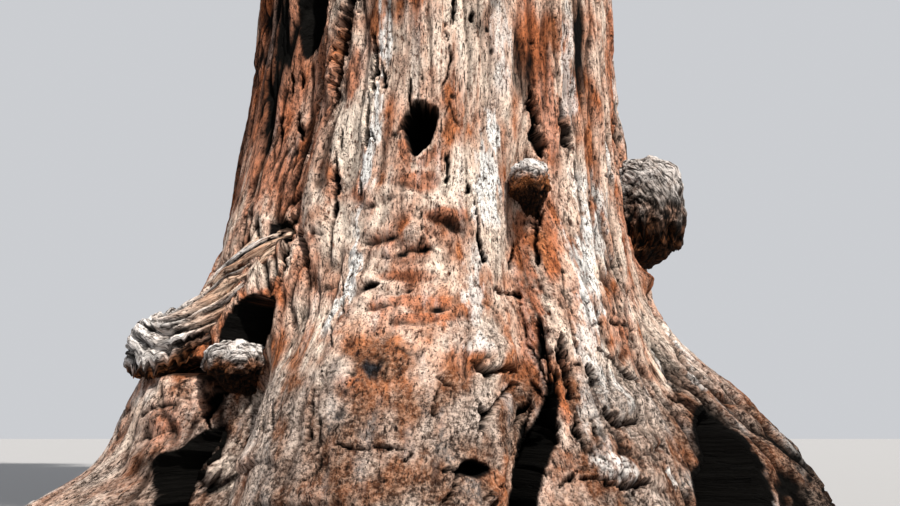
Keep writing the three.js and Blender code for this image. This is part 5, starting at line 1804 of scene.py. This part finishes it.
def grow_along_trunk(crown, spaces, rng):
    """Clumps on short branches that leave the trunk between the boughs, turned on by the golden angle."""
    for k in range(TRUNK_CLUMPS):
        share = k / (TRUNK_CLUMPS - 1)
        height = lerp(TRUNK_CLUMPS_FROM, TRUNK_CLUMPS_TO, share)
        azimuth = 200 + GOLDEN_ANGLE * k + rng.uniform(-20, 20)
        out = outward(azimuth)
        length = rng.uniform(0.8, 2.6) * lerp(1.1, 0.5, share)
        radius = column_radius(height)
        start = out * radius * 0.8 + UP * height
        centre = out * (radius + length) + UP * (height + rng.uniform(-0.1, 0.45) * length)
        half = rng.uniform(0.65, 1.15) * lerp(1.0, 0.65, share) * np.array([1.1, 1.1, 0.85])
        taken = [np.linalg.norm(((centre - s.centre) @ s.axes.T) / s.half) < 0.75 for s in spaces]
        if not any(taken):
            axes = np.stack([out, np.array([-out[1], out[0], 0.0]), UP])
            grow_clump(crown, start, centre, half, axes, (centre, 1.4 * half), rng)


BLADES = 10


def spray_shape(seed):
    """One spray of unit length: a cord of scale leaves with shorter cords round it, each folded on its rib.

    Each cord starts a step higher, is turned on by the golden angle, and leans out less near the tip.
    """
    rng = np.random.default_rng(seed)
    k = np.arange(BLADES - 1)
    at = 0.04 + 0.74 * k / (BLADES - 2)
    around = np.radians(GOLDEN_ANGLE) * k + rng.uniform(0, 6.28)
    lean = np.radians(np.linspace(60, 26, BLADES - 1) + rng.uniform(-8, 8, BLADES - 1))
    length = 0.50 * (1 - 0.42 * at) * rng.uniform(0.85, 1.15, BLADES - 1)
    x, y = np.sin(lean) * np.cos(around), np.sin(lean) * np.sin(around) * 0.8
    way = np.stack([x, y, np.cos(lean)], axis=-1)
    base = np.stack([0 * at, 0 * at, at], axis=-1)
    base = np.vstack([[[0, 0, -0.05]], base])
    way = np.vstack([[[0, 0, 1.0]], unit(way)])
    length = np.concatenate([[1.03], length])
    width = np.concatenate([[0.06], 0.085 * rng.uniform(0.85, 1.15, BLADES - 1)])
    side = unit(np.cross(way, rng.normal(0, 1, (BLADES, 3))))
    fold = np.cross(way, side)
    tip = base + way * length[:, None]
    middle = base + way * length[:, None] * 0.42 + fold * width[:, None] * 0.45
    left = middle - side * width[:, None]
    right = middle + side * width[:, None]
    points = np.stack([base, right, tip, left], axis=1).reshape(-1, 3)
    one = np.array([[0, 1, 2], [0, 2, 3]])
    faces = (one[None] + 4 * np.arange(BLADES)[:, None, None]).reshape(-1, 3)
    return points, faces


SPRAY_SHAPES = 6


def joined_sprays(roots, ways, lengths, picks, rolls):
    """Every spray as its shape, turned to its way, rolled, scaled and put at its root."""
    points, faces, first = [], [], 0
    for pick in range(SPRAY_SHAPES):
        shape, shape_faces = spray_shape(300 + pick)
        chosen = picks == pick
        count = int(chosen.sum())
        if not count:
            continue
        way, root, length, roll = ways[chosen], roots[chosen], lengths[chosen], rolls[chosen]
        level = unit(np.cross(way, UP) + 1e-4)
        above = np.cross(way, level)
        u = np.cos(roll)[:, None] * level + np.sin(roll)[:, None] * above
        v = np.cross(way, u)
        frames = np.stack([u, v, way], axis=1) * length[:, None, None]
        placed = root[:, None] + shape[None] @ frames
        points.append(placed.reshape(-1, 3))
        firsts = first + len(shape) * np.arange(count)
        faces.append((shape_faces[None] + firsts[:, None, None]).reshape(-1, 3))
        first += count * len(shape)
    return np.vstack(points), np.vstack(faces)


# Greens of the foliage, from the inside of a mass, darker as painted shade, to the outer and upturned sprays,
# lighter as new growth and partly as painted light, and a few dead brown sprays.
GREENS = [
    ("foliage_shade", (50, 70, 48), (64, 88, 58)),
    ("foliage_blue", (82, 110, 84), (102, 130, 98)),
    ("foliage_green", (94, 122, 72), (116, 144, 86)),
    ("foliage_light", (118, 146, 84), (142, 168, 102)),
    ("foliage_new_and_lit", (146, 168, 98), (168, 188, 118)),
    ("foliage_dead", (128, 90, 58), (152, 112, 74)),
]
DEAD_SHARE = 0.006

# How far below the solids' box a spray's tip stays.
TIP_CLEARANCE = 0.02

# Twigs: the piece, its bark, radius at root and tip, sides, and the bark's dark and light screen colours.
TWIGS = [
    ("branch_twigs", "branch_bark", 0.045, 0.016, 5, (92, 60, 42), (140, 100, 74)),
    ("fine_twigs", "twig_bark", 0.014, 0.006, 3, (84, 72, 46), (122, 112, 74)),
]


def deal_greens(depths, ways, rng):
    """Which green each spray gets, in steps: by its place outwards, its upward turn and a random part."""
    # Painted shade and light: deeper sprays get darker greens, and sprays turned upwards lighter ones.
    value = 0.7 * (depths - 0.45) / 0.5 + 0.22 * (1 + ways[:, 2]) + rng.normal(0, 0.26, len(depths)) - 0.1
    green = np.digitize(value, [0.12, 0.46, 0.82, 1.15])
    return np.where(rng.uniform(size=len(depths)) < DEAD_SHARE, 5, green)


def clear_of_limbs(points, limbs):
    """Whether each point is outside the trunk and limbs, by distance from the axis and their points."""
    azimuth = np.degrees(np.arctan2(points[:, 0], -points[:, 1]))
    radius = trunk_radius(azimuth, np.minimum(points[:, 2], TRUNK_TOP))
    clear = (np.hypot(points[:, 0], points[:, 1]) > radius + 0.05) | (points[:, 2] > TRUNK_TOP)
    for path, radii in limbs:
        for place, thick in zip(path[::3], radii[::3]):
            clear &= np.linalg.norm(points - place, axis=1) > thick + 0.05
    return clear


def build_limbs(spaces, material):
    """Every bough and top stem. Returns the masses on boughs, all limbs, and each mass with its stem."""
    bearing = [space for space in spaces if space.bears_on_bough()]
    tops = [space for space in spaces if not space.bears_on_bough()]
    limbs, stems = [], []
    for i, space in enumerate(bearing):
        path, radii, stem = bough_and_stem(space)
        build_limb(f"bough_bark_{i + 1:02d}", path, radii, 400 + i * 20, material, [f"bough_{i + 1:02d}"])
        limbs.append((path, radii))
        stems.append((space, stem))
    for i, space in enumerate(tops):
        path, radii, stem = top_stem(space)
        build_limb(f"top_stem_{i + 1}", path, radii, 900 + i * 20, material, [])
        limbs.append((path, radii))
        stems.append((space, stem))
    return bearing, limbs, stems


def add_sprays(crown, limbs, greens, nodes):
    """The sprays that are clear of the limbs and in the solids' box, dealt out by green and joined."""
    kept = [np.concatenate(part) for part in (crown.roots, crown.ways, crown.lengths, crown.depths)]
    roots, tips = kept[0], kept[0] + kept[1] * kept[2][:, None]
    low, high = np.array(cad_bounds)
    keep = np.all((tips > low) & (tips < high - TIP_CLEARANCE), axis=1)
    keep &= clear_of_limbs(lerp(roots, tips, 0.6), limbs)
    keep &= clear_of_limbs(tips, limbs)
    roots, ways, lengths, depths = (part[keep] for part in kept)
    rng = np.random.default_rng(77)
    picks = rng.integers(0, SPRAY_SHAPES, len(roots))
    rolls = rng.uniform(0, 6.28, len(roots))
    dealt = deal_greens(depths, ways, rng)
    for k, (name, _, _) in enumerate(GREENS):
        chosen = np.flatnonzero(dealt == k)
        pieces = int(np.ceil(len(chosen) * BLADES * 2 / PIECE_LIMIT))
        for piece, which in enumerate(np.array_split(chosen, pieces), start=1):
            points, faces = joined_sprays(*(part[which] for part in (roots, ways, lengths, picks, rolls)))
            dress(mesh_object(f"{name}_{piece}", points, [faces], {}, greens[k]), nodes)


def add_twigs(crown, nodes):
    """Every branch and every fine twig of the crown, each kind as one piece with its own bark."""
    for (name, bark_name, root, tip, sides, dark, light), paths in zip(TWIGS, (crown.branches, crown.twigs)):
        points, walls, caps = sticks_along(np.concatenate(paths), root, tip, sides)
        made = mesh_object(name, points, [walls, caps], {}, twig_material(bark_name, dark, light))
        dress(made, nodes if name == "branch_twigs" else [])


def build_crown(bark, greens, nodes):
    """Boughs with their stems, top stems, then every twig and spray, joined into a piece for each kind."""
    spaces = plan_crown()
    crown = Sprays()
    bearing, limbs, stems = build_limbs(spaces, bark)
    for space, stem in stems:
        grow_mass(crown, space, stem, np.random.default_rng(5000 + space.seed))
    for space, (bough_path, _) in zip(bearing, limbs):
        grow_along_bough(crown, space, bough_path, np.random.default_rng(6000 + space.seed))
    grow_along_trunk(crown, spaces, np.random.default_rng(7000))
    add_sprays(crown, limbs, greens, nodes)
    add_twigs(crown, nodes)


def twig_material(name, dark, light):
    """The bark of thin twigs: brown with paler streaks, greener on the finest."""
    f = Finish(name, 0.85)
    place = f.add("ShaderNodeTexCoord", {}).outputs["Object"]
    streaks = f.noise(f.scaled(place, (24, 24, 9)), 1.0, 4.0, 0.65)
    base = f.mix(f.fall(streaks, 0.38, 0.62), colour(*dark), colour(*light))
    return f.finish(base, f.relief([(streaks, 0.01, 0.8)]))


def add_camera():
    """The camera at the photo's place and viewing angle, level from side to side."""
    data = bpy.data.cameras.new("camera")
    data.lens = LENS
    data.sensor_width = SENSOR
    data.clip_end = FAR_CLIP
    camera = bpy.data.objects.new("camera", data)
    camera.location = CAMERA_PLACE
    camera.rotation_euler = (math.radians(90 + CAMERA_PITCH), 0, 0)
    bpy.context.scene.collection.objects.link(camera)
    bpy.context.scene.camera = camera


# The studio: a pale floor, a warm sun high on the right, and an even sky.
FLOOR_RADIUS = 1500.0
FLOOR_SIDES = 128
FLOOR_COLOUR = (0.32, 0.32, 0.325, 1)
SUN_AZIMUTH = 34.0
SUN_HEIGHT = 52.0
SUN_STRENGTH = 6.4
SUN_WIDTH = 2.5
SUN_TINT = (1.0, 0.95, 0.88)
SKY_COLOUR = (0.88, 0.90, 0.94, 1)
SKY_STRENGTH = 0.68


def add_floor():
    """A wide pale disc on the ground."""
    around = ring_angles(FLOOR_SIDES)
    rim = np.stack([np.cos(around), np.sin(around), 0 * around], axis=-1) * FLOOR_RADIUS
    j = np.arange(FLOOR_SIDES)
    faces = np.stack([j, (j + 1) % FLOOR_SIDES, np.full(FLOOR_SIDES, FLOOR_SIDES)], axis=-1)
    f = Finish("studio_floor", 0.9)
    f.shader.inputs["Base Color"].default_value = FLOOR_COLOUR
    mesh_object("studio_floor", np.vstack([rim, [[0, 0, 0]]]), [faces], {}, f.material)


def add_sun():
    """A far soft lamp that shines from the sun's azimuth and height."""
    data = bpy.data.lights.new("key", "SUN")
    data.energy = SUN_STRENGTH
    data.angle = math.radians(SUN_WIDTH)
    data.color = SUN_TINT
    lamp = bpy.data.objects.new("key", data)
    lamp.rotation_euler = (math.radians(90 - SUN_HEIGHT), 0, math.radians(SUN_AZIMUTH))
    bpy.context.scene.collection.objects.link(lamp)


def add_world():
    """Even light from the whole sky."""
    world = bpy.data.worlds.new("studio")
    world.use_nodes = True
    background = world.node_tree.nodes["Background"]
    background.inputs["Color"].default_value = SKY_COLOUR
    background.inputs["Strength"].default_value = SKY_STRENGTH
    bpy.context.scene.world = world


add_camera()
add_floor()
add_sun()
add_world()
bpy.context.scene.view_settings.view_transform = "Standard"

bark_finish = bark_material()
build_trunk(bark_finish)
burl_finish = burl_material()
build_left_burl(burl_finish)
for burl_name, burl_plan in BURL_PLANS.items():
    build_burl(burl_name, burl_plan, burl_finish)
foliage_nodes = [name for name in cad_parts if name.startswith("foliage")]
green_finishes = [needle_material(*green) for green in GREENS]
build_crown(bark_finish, green_finishes, foliage_nodes)
